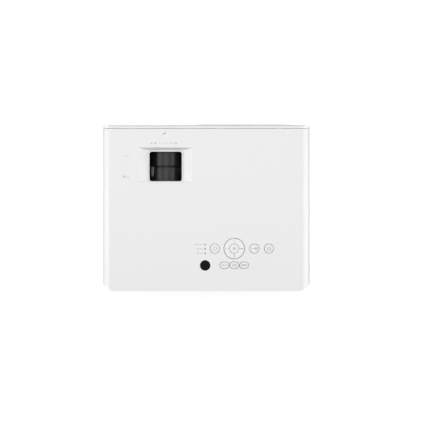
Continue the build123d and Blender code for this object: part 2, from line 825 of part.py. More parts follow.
ring_bore = barrel_r + ring_clear
focus_rear = ring_split - ring_gap / 2
zoom_front = ring_split + ring_gap / 2
with BuildPart() as focus_ring:
    turned_about_lens(
        [
            (ring_bore, focus_front),
            (ring_r - 1, focus_front),
            (ring_r, focus_front + 1),
            (ring_r, focus_rear - 1),
            (ring_r - 1, focus_rear),
            (ring_bore, focus_rear),
        ]
    )
export(focus_ring, "focus_ring")

with BuildPart() as zoom_ring:
    turned_about_lens(
        [
            (ring_bore, zoom_front),
            (ring_r - 1, zoom_front),
            (ring_r, zoom_front + 1),
            (ring_r, zoom_rear - 1),
            (ring_r - 1, zoom_rear),
            (ring_bore, zoom_rear),
        ]
    )
    # The tab, with a pointed rear end
    lean = math.radians(tab_angle)
    tab_plane = Plane(origin=(lens_x, 0, lens_z), x_dir=(0, 1, 0), z_dir=(math.sin(lean), 0, math.cos(lean)))
    with BuildSketch(tab_plane.offset(ring_r - 1)):
        with BuildLine():
            Polyline(
                (zoom_front, -tab_width / 2),
                (zoom_front + tab_length - 3, -tab_width / 2),
                (zoom_front + tab_length, 0),
                (zoom_front + tab_length - 3, tab_width / 2),
                (zoom_front, tab_width / 2),
                close=True,
            )
        make_face()
    extrude(amount=tab_height + 1)
export(zoom_ring, "zoom_ring")

cell_r = barrel_bore - 0.1
cell_front = barrel_front + 3
with BuildPart() as front_lens_cell:
    turned_about_lens(
        [
            (19.5, cell_front),
            (cell_r, cell_front),
            (cell_r, cell_front + 15),
            (17.5, cell_front + 15),
            (17.5, cell_front + 13),
            (19.5, cell_front + 11),
        ]
    )
export(front_lens_cell, "front_lens_cell")

with BuildPart() as front_lens_element:
    turned_about_lens(
        [
            (0, cell_front + 2),
            (7, cell_front + 2.5),
            (13, cell_front + 4),
            (19.4, cell_front + 6.5),
            (19.4, cell_front + 10),
            (13, cell_front + 10.8),
            (0, cell_front + 11),
        ]
    )
export(front_lens_element, "front_lens_element")

# --------------------------------------------------------------------------- light engine
with BuildPart() as light_engine_housing:
    box_between((engine_left, engine_front, engine_low), (engine_right, engine_rear, engine_high))
    hollow_low = (engine_left + wall, engine_front + wall, engine_low - 1)
    box_between(hollow_low, (engine_right - wall, engine_rear - wall, engine_high - wall), Mode.SUBTRACT)
    corner_lugs = [(x, y, engine_low + 2) for x, y in engine_corners]
    box_at(corner_lugs, (10, 10, 4))
    along_y(lens_x, lens_z, engine_front - 1, engine_front + wall + 1, barrel_bore, Mode.SUBTRACT)
    box_at([(lens_x, engine_rear - wall / 2, lens_z)], (24, wall + 2, 18), Mode.SUBTRACT)
    along_y(wheel_x, lens_z, engine_rear - wall - 1, engine_rear + 1, 8, Mode.SUBTRACT)
export(light_engine_housing, "light_engine_housing")

with BuildPart() as imager_board:
    box_at([(lens_x, engine_rear + board_thick / 2, lens_z)], (48, board_thick, 44))
    box_between((lens_x - 10, engine_rear - 2, lens_z - 7), (lens_x + 10, engine_rear, lens_z + 7))
export(imager_board, "imager_board")

with BuildPart() as imager_heatsink:
    sink_front = engine_rear + board_thick
    box_between((lens_x - 20, sink_front, lens_z - 20), (lens_x + 20, sink_front + 4, lens_z + 20))
    fins = [(lens_x + 6 * step, sink_front + 13, lens_z) for step in range(-3, 4)]
    box_at(fins, (1.5, 18, 40))
export(imager_heatsink, "imager_heatsink")

with BuildPart() as colour_wheel_motor:
    along_y(wheel_x, wheel_z, engine_rear, engine_rear + 3, 8)
    along_y(wheel_x, wheel_z, engine_rear + 3, engine_rear + 5, 1.5)
export(colour_wheel_motor, "colour_wheel_motor")

with BuildPart() as colour_wheel:
    along_y(wheel_x, wheel_z, engine_rear + 3.4, engine_rear + 4.6, wheel_r)
    along_y(wheel_x, wheel_z, engine_rear + 3.4, engine_rear + 6, 5)
    along_y(wheel_x, wheel_z, engine_rear + 3.4, engine_rear + 5.2, 1.5 + shaft_clear, Mode.SUBTRACT)
export(colour_wheel, "colour_wheel")

with BuildPart() as light_source_module:
    box_between((source_left, light_front, source_low), (source_right, light_rear, lens_z + source_above))
    along_y(wheel_x, lens_z, light_front - 1, light_front + 12, 9, Mode.SUBTRACT)
    fin_x = source_right + source_fin / 2
    source_fins = [(fin_x, 64, source_low + 8 + 8 * step) for step in range(8)]
    box_at(source_fins, (source_fin, 32, 2))
export(light_source_module, "light_source_module")


def fan_frame(x, depth, y):
    """A square fan frame with its hub and struts, at x = x to x + depth."""
    with BuildPart() as frame:
        box_at([(x + depth / 2, y, fan_z)], (depth, fan_size, fan_size))
        along_x(y, fan_z, x - 1, x + depth + 1, fan_bore, Mode.SUBTRACT)
        box_between((x, y - fan_bore - 1, fan_z - 2), (x + 2, y + fan_bore + 1, fan_z + 2))
        box_between((x, y - 2, fan_z - fan_bore - 1), (x + 2, y + 2, fan_z + fan_bore + 1))
        along_x(y, fan_z, x, x + 2, fan_hub_r)
        along_x(y, fan_z, x + 2, x + depth - 3, 1.5)
    return frame


def fan_rotor(x, depth, y):
    """The hub and blades of one fan, clear of its frame."""
    low = x + 2.5
    high = x + depth - 1
    with BuildPart() as rotor:
        along_x(y, fan_z, low, high, fan_hub_r)
        with Locations(Location(((low + high) / 2, y, fan_z), (0, 90, 0))):
            with PolarLocations(fan_hub_r + 7.5, fan_blades):
                with Locations(Location((0, 0, 0), (32, 0, 0))):
                    Box(16.5, 1.6, depth * 0.68)
        along_x(y, fan_z, x, x + depth - 2.9, 1.5 + shaft_clear, Mode.SUBTRACT)
    return rotor


exhaust_fan_frame = fan_frame(exhaust_x, exhaust_depth, exhaust_y)
export(exhaust_fan_frame, "exhaust_fan_frame")
exhaust_fan_rotor = fan_rotor(exhaust_x, exhaust_depth, exhaust_y)
export(exhaust_fan_rotor, "exhaust_fan_rotor")
intake_fan_frame = fan_frame(intake_x, intake_depth, intake_y)
export(intake_fan_frame, "intake_fan_frame")
intake_fan_rotor = fan_rotor(intake_x, intake_depth, intake_y)
export(intake_fan_rotor, "intake_fan_rotor")

# --------------------------------------------------------------------------- boards
with BuildPart() as main_board:
    box_between((-112, 56, main_board_z), (66, 120, main_board_z + board_thick))
    chip_z = main_board_z + board_thick
    box_at([(-60, 78, chip_z + 1), (-20, 84, chip_z + 1), (20, 76, chip_z + 1)], (18, 18, 2))
    box_at([(-60 + 5 * step, 78, chip_z + 7) for step in (-1, 0, 1)], (1.5, 18, 10))
    box_at([(-96 + 8 * step, 66, chip_z + 4) for step in range(4)], (5, 5, 8))
export(main_board, "main_board")

with BuildPart() as power_supply_board:
    supply_z = 59.0
    box_between((-120, -95, supply_z), (-10, -25, supply_z + board_thick))
    supply_top = supply_z + board_thick
    box_at([(-90, -70, supply_top + 10)], (26, 30, 20))
    box_at([(-55, -45, supply_top + 12)], (30, 4, 24))
    columns([(-30, -78), (-30, -50), (-108, -42)], supply_top, supply_top + 24, 7)
export(power_supply_board, "power_supply_board")

with BuildPart() as keypad_board:
    box_between((-106, 50, keypad_z), (14, 96, keypad_z + board_thick))
export(keypad_board, "keypad_board")

with BuildPart() as dome_switches:
    dome_z = keypad_z + board_thick + dome_height / 2
    dome_places = [(key_x, panel_y, dome_z) for key_x, _ in keys_round]
    dome_places += [(key_x, oval_y, dome_z) for key_x, _ in keys_oval]
    dome_places += [(nav_x + dx, panel_y + dy, dome_z) for dx, dy in nav_spots + [(0, 0)]]
    box_at(dome_places, (dome - 0.5, dome - 0.5, dome_height))
export(dome_switches, "dome_switches")

with BuildPart() as speaker:
    along_x(speaker_y, speaker_z, speaker_front, seat_rear, speaker_r)
    along_x(speaker_y, speaker_z, speaker_front - 1, speaker_front + 1.5, speaker_cone_r, Mode.SUBTRACT)
    along_x(speaker_y, speaker_z, seat_rear, seat_rear + magnet_deep, speaker_magnet_r)
export(speaker, "speaker")

# --------------------------------------------------------------------------- keys


def finish_key(key_x, key_y, reach, along):
    """The stem and flange under a key's cap, in the current part."""
    flange_mid = flange_top - flange_thick / 2
    flange = (reach, 4, flange_thick) if along else (4, reach, flange_thick)
    box_at([(key_x, key_y, flange_mid)], flange)
    stem_top = flange_top - flange_thick
    box_at([(key_x, key_y, (key_base + stem_top) / 2)], (3.6, 3.6, stem_top - key_base))


for key_x, key_name in keys_round:
    with BuildPart() as round_key:
        upright(key_x, panel_y, flange_top, case_top + key_proud, round_key_r)
        finish_key(key_x, panel_y, 2 * round_key_r + flange_wide, False)
    export(round_key, f"key_{key_name}")

for key_x, key_name in keys_oval:
    with BuildPart() as oval_key:
        with BuildSketch(Plane.XY.offset(flange_top)):
            with Locations((key_x, oval_y)):
                SlotOverall(oval_length, oval_width)
        extrude(amount=case_top + key_proud - flange_top)
        finish_key(key_x, oval_y, oval_width + flange_wide, False)
    export(oval_key, f"key_{key_name}")

with BuildPart() as key_ok:
    ok_low = case_top - ok_drop
    upright(nav_x, panel_y, ok_low, case_top + key_proud, ok_key_r)
    box_at([(nav_x, panel_y, (key_base + ok_low) / 2)], (3.6, 3.6, ok_low - key_base))
export(key_ok, "key_ok")

gimbal_in = 9.4
gimbal_out = 11.6
with BuildPart() as nav_gimbal:
    upright(nav_x, panel_y, pivot_z - 1.2, pivot_z + 1.2, gimbal_out)
    upright(nav_x, panel_y, pivot_z - 2, pivot_z + 2, gimbal_in, Mode.SUBTRACT)
    with Locations(Location((nav_x, panel_y, pivot_z), (0, 0, 135))):
        with Locations(Location((0, 0, 0), (0, 90, 0))):
            Cylinder(pin_r + shaft_clear, 2 * gimbal_out + 2, mode=Mode.SUBTRACT)
    pin_mid = (gimbal_out - 1 + lug_far) / 2
    pin_long = lug_far - gimbal_out + 1
    with Locations(Location((nav_x, panel_y, pivot_z), (0, 0, 45))):
        with Locations(Location((pin_mid, 0, 0), (0, 90, 0)), Location((-pin_mid, 0, 0), (0, 90, 0))):
            Cylinder(pin_r, pin_long)
export(nav_gimbal, "nav_gimbal")

with BuildPart() as nav_ring:
    ring_low = case_top - ring_drop
    upright(nav_x, panel_y, ring_low, case_top + key_proud, nav_r)
    upright(nav_x, panel_y, ring_low - 1, case_top + 2, nav_inner_r, Mode.SUBTRACT)
    with Locations(Location((nav_x, panel_y, 0), (0, 0, 135))):
        with Locations((8.1, 0, pivot_z + 0.7), (-8.1, 0, pivot_z + 0.7)):
            Box(1.6, 3, 3.4)
        pin_places = [Location((9.9, 0, pivot_z), (0, 90, 0)), Location((-9.9, 0, pivot_z), (0, 90, 0))]
        with Locations(*pin_places):
            Cylinder(pin_r, 2.6)
    plunger_low = key_base - 0.1
    plunger_z = (plunger_low + ring_low) / 2
    plungers = [(nav_x + dx, panel_y + dy, plunger_z) for dx, dy in nav_spots]
    box_at(plungers, (2, 2, ring_low - plunger_low))
export(nav_ring, "nav_ring")

with BuildPart() as eject_button:
    along_y(eject_x, eject_z, front_face - 0.5, inner_front, eject_r)
    box_at([(eject_x, inner_front + 0.6, eject_z)], (10, 1.2, 4))
export(eject_button, "eject_button")

# --------------------------------------------------------------------------- disc player
rail_top = tray_base - 0.3
with BuildPart() as drive_chassis:
    drive_y = (drive_front + drive_rear) / 2
    drive_long = drive_rear - drive_front
    drive_high = drive_top - drive_base
    box_at([(drive_x, drive_y, drive_base + drive_high / 2)], (drive_width, drive_long, drive_high))
    pan_low = (drive_x - half_drive + sheet, drive_front - 1, drive_base + sheet)
    box_between(pan_low, (drive_x + half_drive - sheet, drive_rear - sheet, drive_top + 1), Mode.SUBTRACT)
    for side in (-1, 1):
        ledge = [(drive_x + side * (half_drive - 7), (drive_front + 46) / 2, rail_top - 0.7)]
        box_at(ledge, (11, 46 - drive_front, 1.4))
        guide = [(drive_x + side * (half_drive - 4.5), (drive_front + 46) / 2, rail_top + 2.5)]
        box_at(guide, (6, 46 - drive_front, 5))
    rod_places = [drive_x - rod_spread, drive_x + rod_spread]
    rod_blocks = [(x, y, drive_base + sheet + 4) for x in rod_places for y in (-35.5, 34)]
    box_at(rod_blocks, (6, 3, 8))
    upright(gear_x, gear_y, drive_base + sheet, gear_z + gear_thick, gear_pin_r)
    upright(gear_x, gear_y, drive_base + sheet, gear_z - 0.3, gear_pin_r + 2)
    upright(pinion_x, gear_y, drive_base - 1, drive_base + sheet + 1, 3, Mode.SUBTRACT)
    floor_cuts = [(drive_x, 0, drive_base), (drive_x - 40, -20, drive_base), (drive_x + 40, -10, drive_base)]
    box_at(floor_cuts, (16, 50, 4), Mode.SUBTRACT)
export(drive_chassis, "drive_chassis")

with BuildPart() as drive_lid:
    box_at([(drive_x, drive_y, drive_top + 0.6)], (drive_width, drive_long, 1.2))
    upright(drive_x, disc_y, drive_top - 1, drive_top + 2, 12, Mode.SUBTRACT)
    spacer_places = [(x, y, (drive_top + 1.2 + supply_z) / 2) for x in (-117, -13) for y in (-92, -28)]
    box_at(spacer_places, (5, 5, supply_z - drive_top - 1.2))
    box_at([(drive_x - 40, 20, drive_top), (drive_x + 40, 20, drive_top)], (40, 30, 4), Mode.SUBTRACT)
export(drive_lid, "drive_lid")

with BuildPart() as disc_tray:
    box_between((drive_x - half_tray, tray_front, tray_base), (drive_x + half_tray, tray_rear, tray_top))
    upright(drive_x, disc_y, tray_top - disc_well_depth, tray_top + 1, disc_well_r, Mode.SUBTRACT)
    small_floor = tray_top - disc_well_depth - small_well_depth
    upright(drive_x, disc_y, small_floor, tray_top + 1, small_well_r, Mode.SUBTRACT)
    slot_front = disc_y - tray_slot / 2
    slot_low = (drive_x - tray_slot / 2, slot_front, tray_base - 1)
    box_between(slot_low, (drive_x + tray_slot / 2, tray_rear + 1, tray_top + 1), Mode.SUBTRACT)
    left_hollow = (drive_x - half_tray + 5, -116, tray_base - 1)
    box_between(left_hollow, (drive_x - 21, 44, tray_base + 4.5), Mode.SUBTRACT)
    right_hollow = (drive_x + half_tray - 5, 44, tray_base + 4.5)
    box_between((rack_face_x + 7, -116, tray_base - 1), right_hollow, Mode.SUBTRACT)
    prism(rack_outline(), gear_z, tray_base)
export(disc_tray, "disc_tray")

with BuildPart() as tray_door:
    add(bow_block(tray_front, door_low, door_high))
    box_between((door_left, -130, door_low), (door_right, tray_front, door_high), Mode.INTERSECT)
export(tray_door, "tray_door")

with BuildPart() as loading_gear:
    spur_gear(gear_x, gear_teeth, 0, gear_pin_r + shaft_clear)
export(loading_gear, "loading_gear")

with BuildPart() as loading_pinion:
    spur_gear(pinion_x, pinion_teeth, math.pi / pinion_teeth, 1 + shaft_clear)
export(loading_pinion, "loading_pinion")

with BuildPart() as drive_motors:
    upright(pinion_x, gear_y, 12, drive_base, 10)
    upright(pinion_x, gear_y, drive_base, gear_z + gear_thick, 1)
    upright(drive_x, disc_y, drive_base + sheet, 36.5, 10)
    upright(drive_x, disc_y, 36.5, 40, 1)
export(drive_motors, "drive_motors")

with BuildPart() as turntable:
    upright(drive_x, disc_y, 37, 40.5, turntable_r)
    with BuildSketch(Plane.XY.offset(40.5)):
        with Locations((drive_x, disc_y)):
            Circle(7.4)
    extrude(amount=2.2, taper=20)
    upright(drive_x, disc_y, 36.9, 40.1, 1 + shaft_clear, Mode.SUBTRACT)
export(turntable, "turntable")

with BuildPart() as disc_clamp:
    upright(drive_x, disc_y, 46.4, 49.4, clamp_r)
    upright(drive_x, disc_y, 49.4, drive_top + 1.5, 11.7)
    upright(drive_x, disc_y, drive_top + 1.5, drive_top + 2.7, 14)
export(disc_clamp, "disc_clamp")

with BuildPart() as guide_rods:
    for rod_x in rod_places:
        along_y(rod_x, rod_z, -34, 32.5, rod_r)
export(guide_rods, "guide_rods")

with BuildPart() as laser_sled:
    sled_mid = (drive_x, sled_y, 33.2)
    box_at([sled_mid], (sled_width, sled_length, 9.6))
    for rod_x in rod_places:
        along_y(rod_x, rod_z, sled_y - 16, sled_y + 16, rod_r + shaft_clear, Mode.SUBTRACT)
    upright(drive_x, sled_y - 6, 38, 40.3, 4)
export(laser_sled, "laser_sled")
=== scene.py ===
"""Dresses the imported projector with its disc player: finishes, prints, filters, light and camera."""

import logging
import math
from dataclasses import dataclass, field
from enum import Enum
from typing import Dict, List, Sequence, Tuple

import bmesh
import bpy
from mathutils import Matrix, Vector


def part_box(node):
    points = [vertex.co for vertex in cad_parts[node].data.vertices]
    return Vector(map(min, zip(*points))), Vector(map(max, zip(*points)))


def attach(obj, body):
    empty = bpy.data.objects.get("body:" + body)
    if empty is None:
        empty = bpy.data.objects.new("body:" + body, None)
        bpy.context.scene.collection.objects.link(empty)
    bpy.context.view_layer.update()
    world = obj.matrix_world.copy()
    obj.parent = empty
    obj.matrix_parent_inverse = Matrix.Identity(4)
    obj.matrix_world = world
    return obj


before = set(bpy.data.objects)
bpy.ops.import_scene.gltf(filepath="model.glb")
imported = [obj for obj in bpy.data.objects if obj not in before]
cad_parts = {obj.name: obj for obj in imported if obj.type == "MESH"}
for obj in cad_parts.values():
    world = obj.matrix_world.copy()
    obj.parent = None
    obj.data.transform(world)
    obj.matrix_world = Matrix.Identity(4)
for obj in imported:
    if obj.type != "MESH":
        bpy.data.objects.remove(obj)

Colour = Tuple[float, float, float]
Outline = List[Tuple[float, float]]
MM = 0.001
PAINTED_SHADE_REACH = 0.014  # metres that the painted shade in hollows reaches round itself
PAINTED_SHADE_SHARE = 0.85  # share of that painted shade in the base colour
BARE_BOARD = 0.2  # metres; a level over the whole case, for a board without parts on its top face
LOG = logging.getLogger("projector")


class Face(Enum):
    """The side of the case that a print lies on."""

    TOP = "top"
    FRONT = "front"

    def point(self, across: float, up: float, out: float) -> Vector:
        """Place a print's point in the frame.

        Args:
            across: Distance to the reader's right, in metres.
            up: Distance upwards as the reader sees it, in metres.
            out: Height over the side's own zero plane, in metres.

        Returns:
            The point in the row frame.
        """
        if self is Face.TOP:
            return Vector((-across, -up, out))
        return Vector((across, -out, up))


class Tone(Enum):
    """Inks of the printed marks, and the grey of the painted shade round the keys."""

    GREY = (0.30, 0.30, 0.31)
    PALE = (0.56, 0.56, 0.57)
    # painted shade: grey that stands in for the shade in the gaps round the keys
    RIM = (0.44, 0.44, 0.44)


def middle(name: str) -> Tuple[float, float, float]:
    """A CAD node's middle in millimetres, to the tenth that the part's sizes are given in."""
    low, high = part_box(name)
    return tuple(round((first + last) / 2 / MM, 1) for first, last in zip(low, high))


def top_of(name: str) -> float:
    """A CAD node's highest level in millimetres, to a tenth."""
    return round(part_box(name)[1].z / MM, 1)


# ------------------------------------------------------------------------------ finishes
class Bench:
    """A material under construction: one principled shader and the nodes that feed it."""

    def __init__(self, name: str) -> None:
        """Start a material.

        Args:
            name: The material's name.
        """
        self.material = bpy.data.materials.new(name)
        self.material.use_nodes = True
        self.tree = self.material.node_tree
        self.shader = self.tree.nodes["Principled BSDF"]
        self.place = self.tree.nodes.new("ShaderNodeTexCoord").outputs["Object"]

    def node(self, kind: str, **inputs: object) -> bpy.types.Node:
        """Add a node and set or link its inputs.

        Args:
            kind: The node type's name after "ShaderNode".
            inputs: Socket names, with spaces as underscores, and a value or a socket for each.

        Returns:
            The new node.
        """
        made = self.tree.nodes.new("ShaderNode" + kind)
        for key, value in inputs.items():
            socket = made.inputs[int(key[1:])] if key[0] == "_" else made.inputs[key.replace("_", " ")]
            if isinstance(value, bpy.types.NodeSocket):
                self.tree.links.new(value, socket)
            else:
                socket.default_value = value
        return made

    def link(self, source: bpy.types.NodeSocket, socket: str) -> None:
        """Feed one of the shader's sockets."""
        self.tree.links.new(source, self.shader.inputs[socket])

    def fix(self, **values: object) -> None:
        """Set constants on the shader's own sockets."""
        for key, value in values.items():
            self.shader.inputs[key.replace("_", " ")].default_value = value

    def math(self, job: str, first: object, second: object = 0.0) -> bpy.types.NodeSocket:
        """Add a math node and return its output."""
        made = self.node("Math", _0=first, _1=second)
        made.operation = job
        return made.outputs[0]

    def ramp(self, factor: bpy.types.NodeSocket, stops: Sequence[Tuple[float, Colour]], hard: bool = False):
        """Colour a factor by a ramp.

        Args:
            factor: The value from 0 to 1.
            stops: Places along the ramp and their colours.
            hard: True for steps in place of a blend.

        Returns:
            The ramp's colour socket.
        """
        made = self.node("ValToRGB", Fac=factor)
        band = made.color_ramp
        band.interpolation = "CONSTANT" if hard else "LINEAR"
        while len(band.elements) < len(stops):
            band.elements.new(0.5)
        for element, (place, colour) in zip(band.elements, stops):
            element.position = place
            element.color = (*colour, 1.0)
        return made.outputs["Color"]

    def noise(
        self, scale: float, detail: float = 3.0, stretch: Colour = (1.0, 1.0, 1.0)
    ) -> bpy.types.NodeSocket:
        """Add noise in object space, in turns per metre, stretched along an axis."""
        vector = self.node("Mapping", Vector=self.place, Scale=stretch).outputs[0]
        return self.node("TexNoise", Vector=vector, Scale=scale, Detail=detail).outputs[0]

    def surface(self, height: bpy.types.NodeSocket, depth: float, soft_edge: float = 0.0) -> None:
        """Feed the normal from a height and from softened edges.

        Args:
            height: The height as a value from 0 to 1.
            depth: What a height of 1 is, in millimetres.
            soft_edge: Radius that sharp edges are drawn with, in millimetres.
        """
        bump = self.node("Bump", Height=height, Distance=depth * MM, Strength=1.0)
        if soft_edge:
            edge = self.node("Bevel", Radius=soft_edge * MM)
            edge.samples = 4
            self.tree.links.new(edge.outputs[0], bump.inputs["Normal"])
        self.link(bump.outputs[0], "Normal")


def shade(colour: Colour, factor: float) -> Colour:
    """Darken or lighten a colour."""
    return tuple(min(1.0, part * factor) for part in colour)


@dataclass(frozen=True)
class Plastic:
    """Moulded plastic with a fine sparked grain, slow tone drift, soft edges and, where asked, painted shade
    in hollows from ambient occlusion.
    """

    name: str
    colour: Colour
    rough: float = 0.4
    grain: float = 2200.0
    depth: float = 0.006
    drift: float = 0.02
    coat: float = 0.0
    edge: float = 0.25
    gloss: float = 0.5
    painted_shade: float = 0.0

    def make(self) -> bpy.types.Material:
        """Build the material."""
        bench = Bench(self.name)
        slow = bench.noise(14.0, 2.0)
        colour = bench.ramp(slow, [(0.3, shade(self.colour, 1 - self.drift)), (0.7, self.colour)])
        # painted shade: ambient occlusion darkens the base colour in recesses, key gaps and corners
        if self.painted_shade:
            open_share = bench.node("AmbientOcclusion", Distance=PAINTED_SHADE_REACH).outputs["AO"]
            shaded_tint = shade(self.colour, 1 - self.painted_shade)
            painted_shade_tint = bench.ramp(open_share, [(0.25, shaded_tint), (0.8, self.colour)])
            colour = bench.node("MixRGB", Fac=PAINTED_SHADE_SHARE, Color1=colour, Color2=painted_shade_tint).outputs[0]
        bench.link(colour, "Base Color")
        fine = bench.noise(self.grain)
        spread = bench.node("MapRange", Value=fine, To_Min=self.rough - 0.04, To_Max=self.rough + 0.06)
        bench.link(spread.outputs[0], "Roughness")
        bench.fix(Coat_Weight=self.coat, Coat_Roughness=0.08, Specular_IOR_Level=self.gloss)
        bench.surface(fine, self.depth, self.edge)
        return bench.material


@dataclass(frozen=True)
class Metal:
    """Plated, brushed or cast metal."""

    name: str
    colour: Colour
    rough: float = 0.35
    grain: float = 900.0
    stretch: Colour = (1.0, 0.05, 1.0)
    depth: float = 0.01
    metallic: float = 1.0

    def make(self) -> bpy.types.Material:
        """Build the material."""
        bench = Bench(self.name)
        lines = bench.noise(self.grain, 4.0, self.stretch)
        bench.link(bench.ramp(lines, [(0.3, shade(self.colour, 0.82)), (0.7, self.colour)]), "Base Color")
        spread = bench.node("MapRange", Value=lines, To_Min=self.rough - 0.08, To_Max=self.rough + 0.1)
        bench.link(spread.outputs[0], "Roughness")
        bench.fix(Metallic=self.metallic)
        bench.surface(lines, self.depth, 0.2)
        return bench.material


@dataclass(frozen=True)
class Rubber:
    """Matt rubber with a pebbled skin."""

    name: str
    colour: Colour = (0.035, 0.035, 0.037)

    def make(self) -> bpy.types.Material:
        """Build the material."""
        bench = Bench(self.name)
        cells = bench.node("TexVoronoi", Vector=bench.place, Scale=900.0).outputs["Distance"]
        stops = [(0.0, shade(self.colour, 0.7)), (0.8, shade(self.colour, 1.5))]
        bench.link(bench.ramp(cells, stops), "Base Color")
        bench.fix(Roughness=0.82)
        bench.surface(cells, 0.05, 0.3)
        return bench.material


@dataclass(frozen=True)
class Glass:
    """Clear glass or plastic, with a coating tint that shifts over the surface."""

    name: str
    tint: Colour
    second: Colour
    rough: float = 0.02
    ior: float = 1.52

    def make(self) -> bpy.types.Material:
        """Build the material."""
        bench = Bench(self.name)
        slow = bench.noise(40.0, 1.0)
        bench.link(bench.ramp(slow, [(0.35, self.tint), (0.65, self.second)]), "Base Color")
        bench.fix(Roughness=self.rough, IOR=self.ior, Transmission_Weight=1.0, Coat_Weight=0.4)
        return bench.material


@dataclass(frozen=True)
class Laminate:
    """A circuit board with etched tracks, and dark parts above its top face."""

    name: str
    top: float
    colour: Colour = (0.02, 0.15, 0.06)

    def make(self) -> bpy.types.Material:
        """Build the material."""
        bench = Bench(self.name)
        tracks = bench.node("TexBrick", Vector=bench.place, Scale=180.0, Mortar_Size=0.03)
        tracks.inputs["Color1"].default_value = (*self.colour, 1.0)
        tracks.inputs["Color2"].default_value = (*shade(self.colour, 0.8), 1.0)
        tracks.inputs["Mortar"].default_value = (*shade(self.colour, 1.7), 1.0)
        height = bench.node("SeparateXYZ", Vector=bench.place).outputs["Z"]
        above = bench.math("GREATER_THAN", height, self.top + 0.0002)
        stops = [(0.45, (0.02, 0.02, 0.022)), (0.55, (0.10, 0.09, 0.07))]
        cases = bench.ramp(bench.noise(60.0, 1.0), stops, True)
        mix = bench.node("MixRGB", Fac=above, Color1=tracks.outputs["Color"], Color2=cases)
        bench.link(mix.outputs[0], "Base Color")
        bench.fix(Roughness=0.38, Coat_Weight=0.3)
        bench.surface(tracks.outputs["Fac"], 0.03)
        return bench.material


@dataclass(frozen=True)
class Radial:
    """A finish in rings or sectors round an axis along X or Y."""

    name: str
    middle: Tuple[float, float]
    axes: str
    reach: float
    rings: Tuple[Tuple[float, Colour], ...]
    sectors: Tuple[Colour, ...] = ()
    sector_from: float = 0.0
    rough: float = 0.3
    clear: float = 0.0

    def make(self) -> bpy.types.Material:
        """Build the material."""
        bench = Bench(self.name)
        parts = bench.node("SeparateXYZ", Vector=bench.place).outputs
        first = bench.math("SUBTRACT", parts[self.axes[0]], self.middle[0])
        second = bench.math("SUBTRACT", parts[self.axes[1]], self.middle[1])
        first_square = bench.math("MULTIPLY", first, first)
        second_square = bench.math("MULTIPLY", second, second)
        distance = bench.math("SQRT", bench.math("ADD", first_square, second_square))
        radius = bench.math("DIVIDE", distance, self.reach)
        colour = bench.ramp(radius, list(self.rings), True)
        if self.sectors:
            angle = bench.math("ARCTAN2", second, first)
            turn = bench.math("ADD", bench.math("DIVIDE", angle, 2 * math.pi), 0.5)
            stops = [(index / len(self.sectors), tone) for index, tone in enumerate(self.sectors)]
            outside = bench.math("GREATER_THAN", radius, self.sector_from)
            mixed = bench.node("MixRGB", Fac=outside, Color1=colour, Color2=bench.ramp(turn, stops, True))
            colour = mixed.outputs[0]
        bench.link(colour, "Base Color")
        waves = bench.math("SINE", bench.math("MULTIPLY", radius, 90.0))
        bench.fix(Roughness=self.rough, Transmission_Weight=self.clear)
        bench.surface(waves, 0.01)
        return bench.material


@dataclass(frozen=True)
class Ink:
    """Screen-printed ink with a slightly broken film; the same film also draws painted shade."""

    tone: Tone

    def make(self) -> bpy.types.Material:
        """Build the material."""
        bench = Bench("ink_" + self.tone.name.lower())
        speck = bench.noise(3000.0, 2.0)
        stops = [(0.35, shade(self.tone.value, 1.25)), (0.5, self.tone.value)]
        bench.link(bench.ramp(speck, stops), "Base Color")
        bench.fix(Roughness=0.55)
        return bench.material


@dataclass(frozen=True)
class Foam:
    """Open-cell filter foam or woven mesh behind a grille."""

    name: str
    colour: Colour = (0.016, 0.016, 0.018)
    cells: float = 800.0

    def make(self) -> bpy.types.Material:
        """Build the material."""
        bench = Bench(self.name)
        cell = bench.node("TexVoronoi", Vector=bench.place, Scale=self.cells).outputs["Distance"]
        bench.link(bench.ramp(cell, [(0.1, (0.002, 0.002, 0.002)), (0.6, self.colour)]), "Base Color")
        bench.fix(Roughness=0.9)
        bench.surface(cell, 0.4)
        return bench.material


class Store:
    """Makes each finish once and puts it on objects."""

    def __init__(self) -> None:
        """Start with no finish made."""
        self.made: Dict[object, bpy.types.Material] = {}

    def coat(self, target: bpy.types.Object, finish: object) -> None:
        """Give an object one finish.

        Args:
            target: The object to cover.
            finish: A finish with a make method.
        """
        if finish not in self.made:
            self.made[finish] = finish.make()
        target.data.materials.clear()
        target.data.materials.append(self.made[finish])

    def coat_node(self, names: str, finish: object) -> None:
        """Give several CAD nodes, named in one string, the same finish."""
        for name in names.split():
            self.coat(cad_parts[name], finish)


WHITE = (0.845, 0.85, 0.845)
# the case white carries painted shade in its hollows
CASE_WHITE = Plastic("case_white", WHITE, 0.42, drift=0.012, depth=0.004, painted_shade=0.10)
KEY_WHITE = Plastic("key_white", (0.85, 0.855, 0.85), 0.32, 3500.0, 0.002, 0.01, coat=0.15, edge=0.45)
RING_BLACK = Plastic("ring_black", (0.017, 0.017, 0.018), 0.41, 2600.0, 0.003, 0.1, edge=0.4)
WINDOW_BLACK = Plastic("window_black", (0.0105, 0.009, 0.0105), 0.12, 400.0, 0.001, 0.2, gloss=0.06)
BLACK_GRAIN = Plastic("black_grain", (0.028, 0.028, 0.03), 0.55, 1400.0, 0.02, 0.15)
GREY_GRAIN = Plastic("grey_grain", (0.12, 0.12, 0.125), 0.5, 1400.0, 0.02, 0.1)
RESIN = Plastic("gear_resin", (0.74, 0.72, 0.65), 0.45, 1800.0, 0.004, 0.05)
SOCKET_BLUE = Plastic("socket_blue", (0.03, 0.09, 0.40), 0.45, 1500.0, 0.01, 0.08)
BLACK_METAL = Metal("black_metal", (0.03, 0.03, 0.033), 0.4, metallic=0.3, depth=0.004)
ZINC = Metal("zinc_plate", (0.62, 0.63, 0.64), 0.38, 500.0, (1.0, 0.25, 1.0))
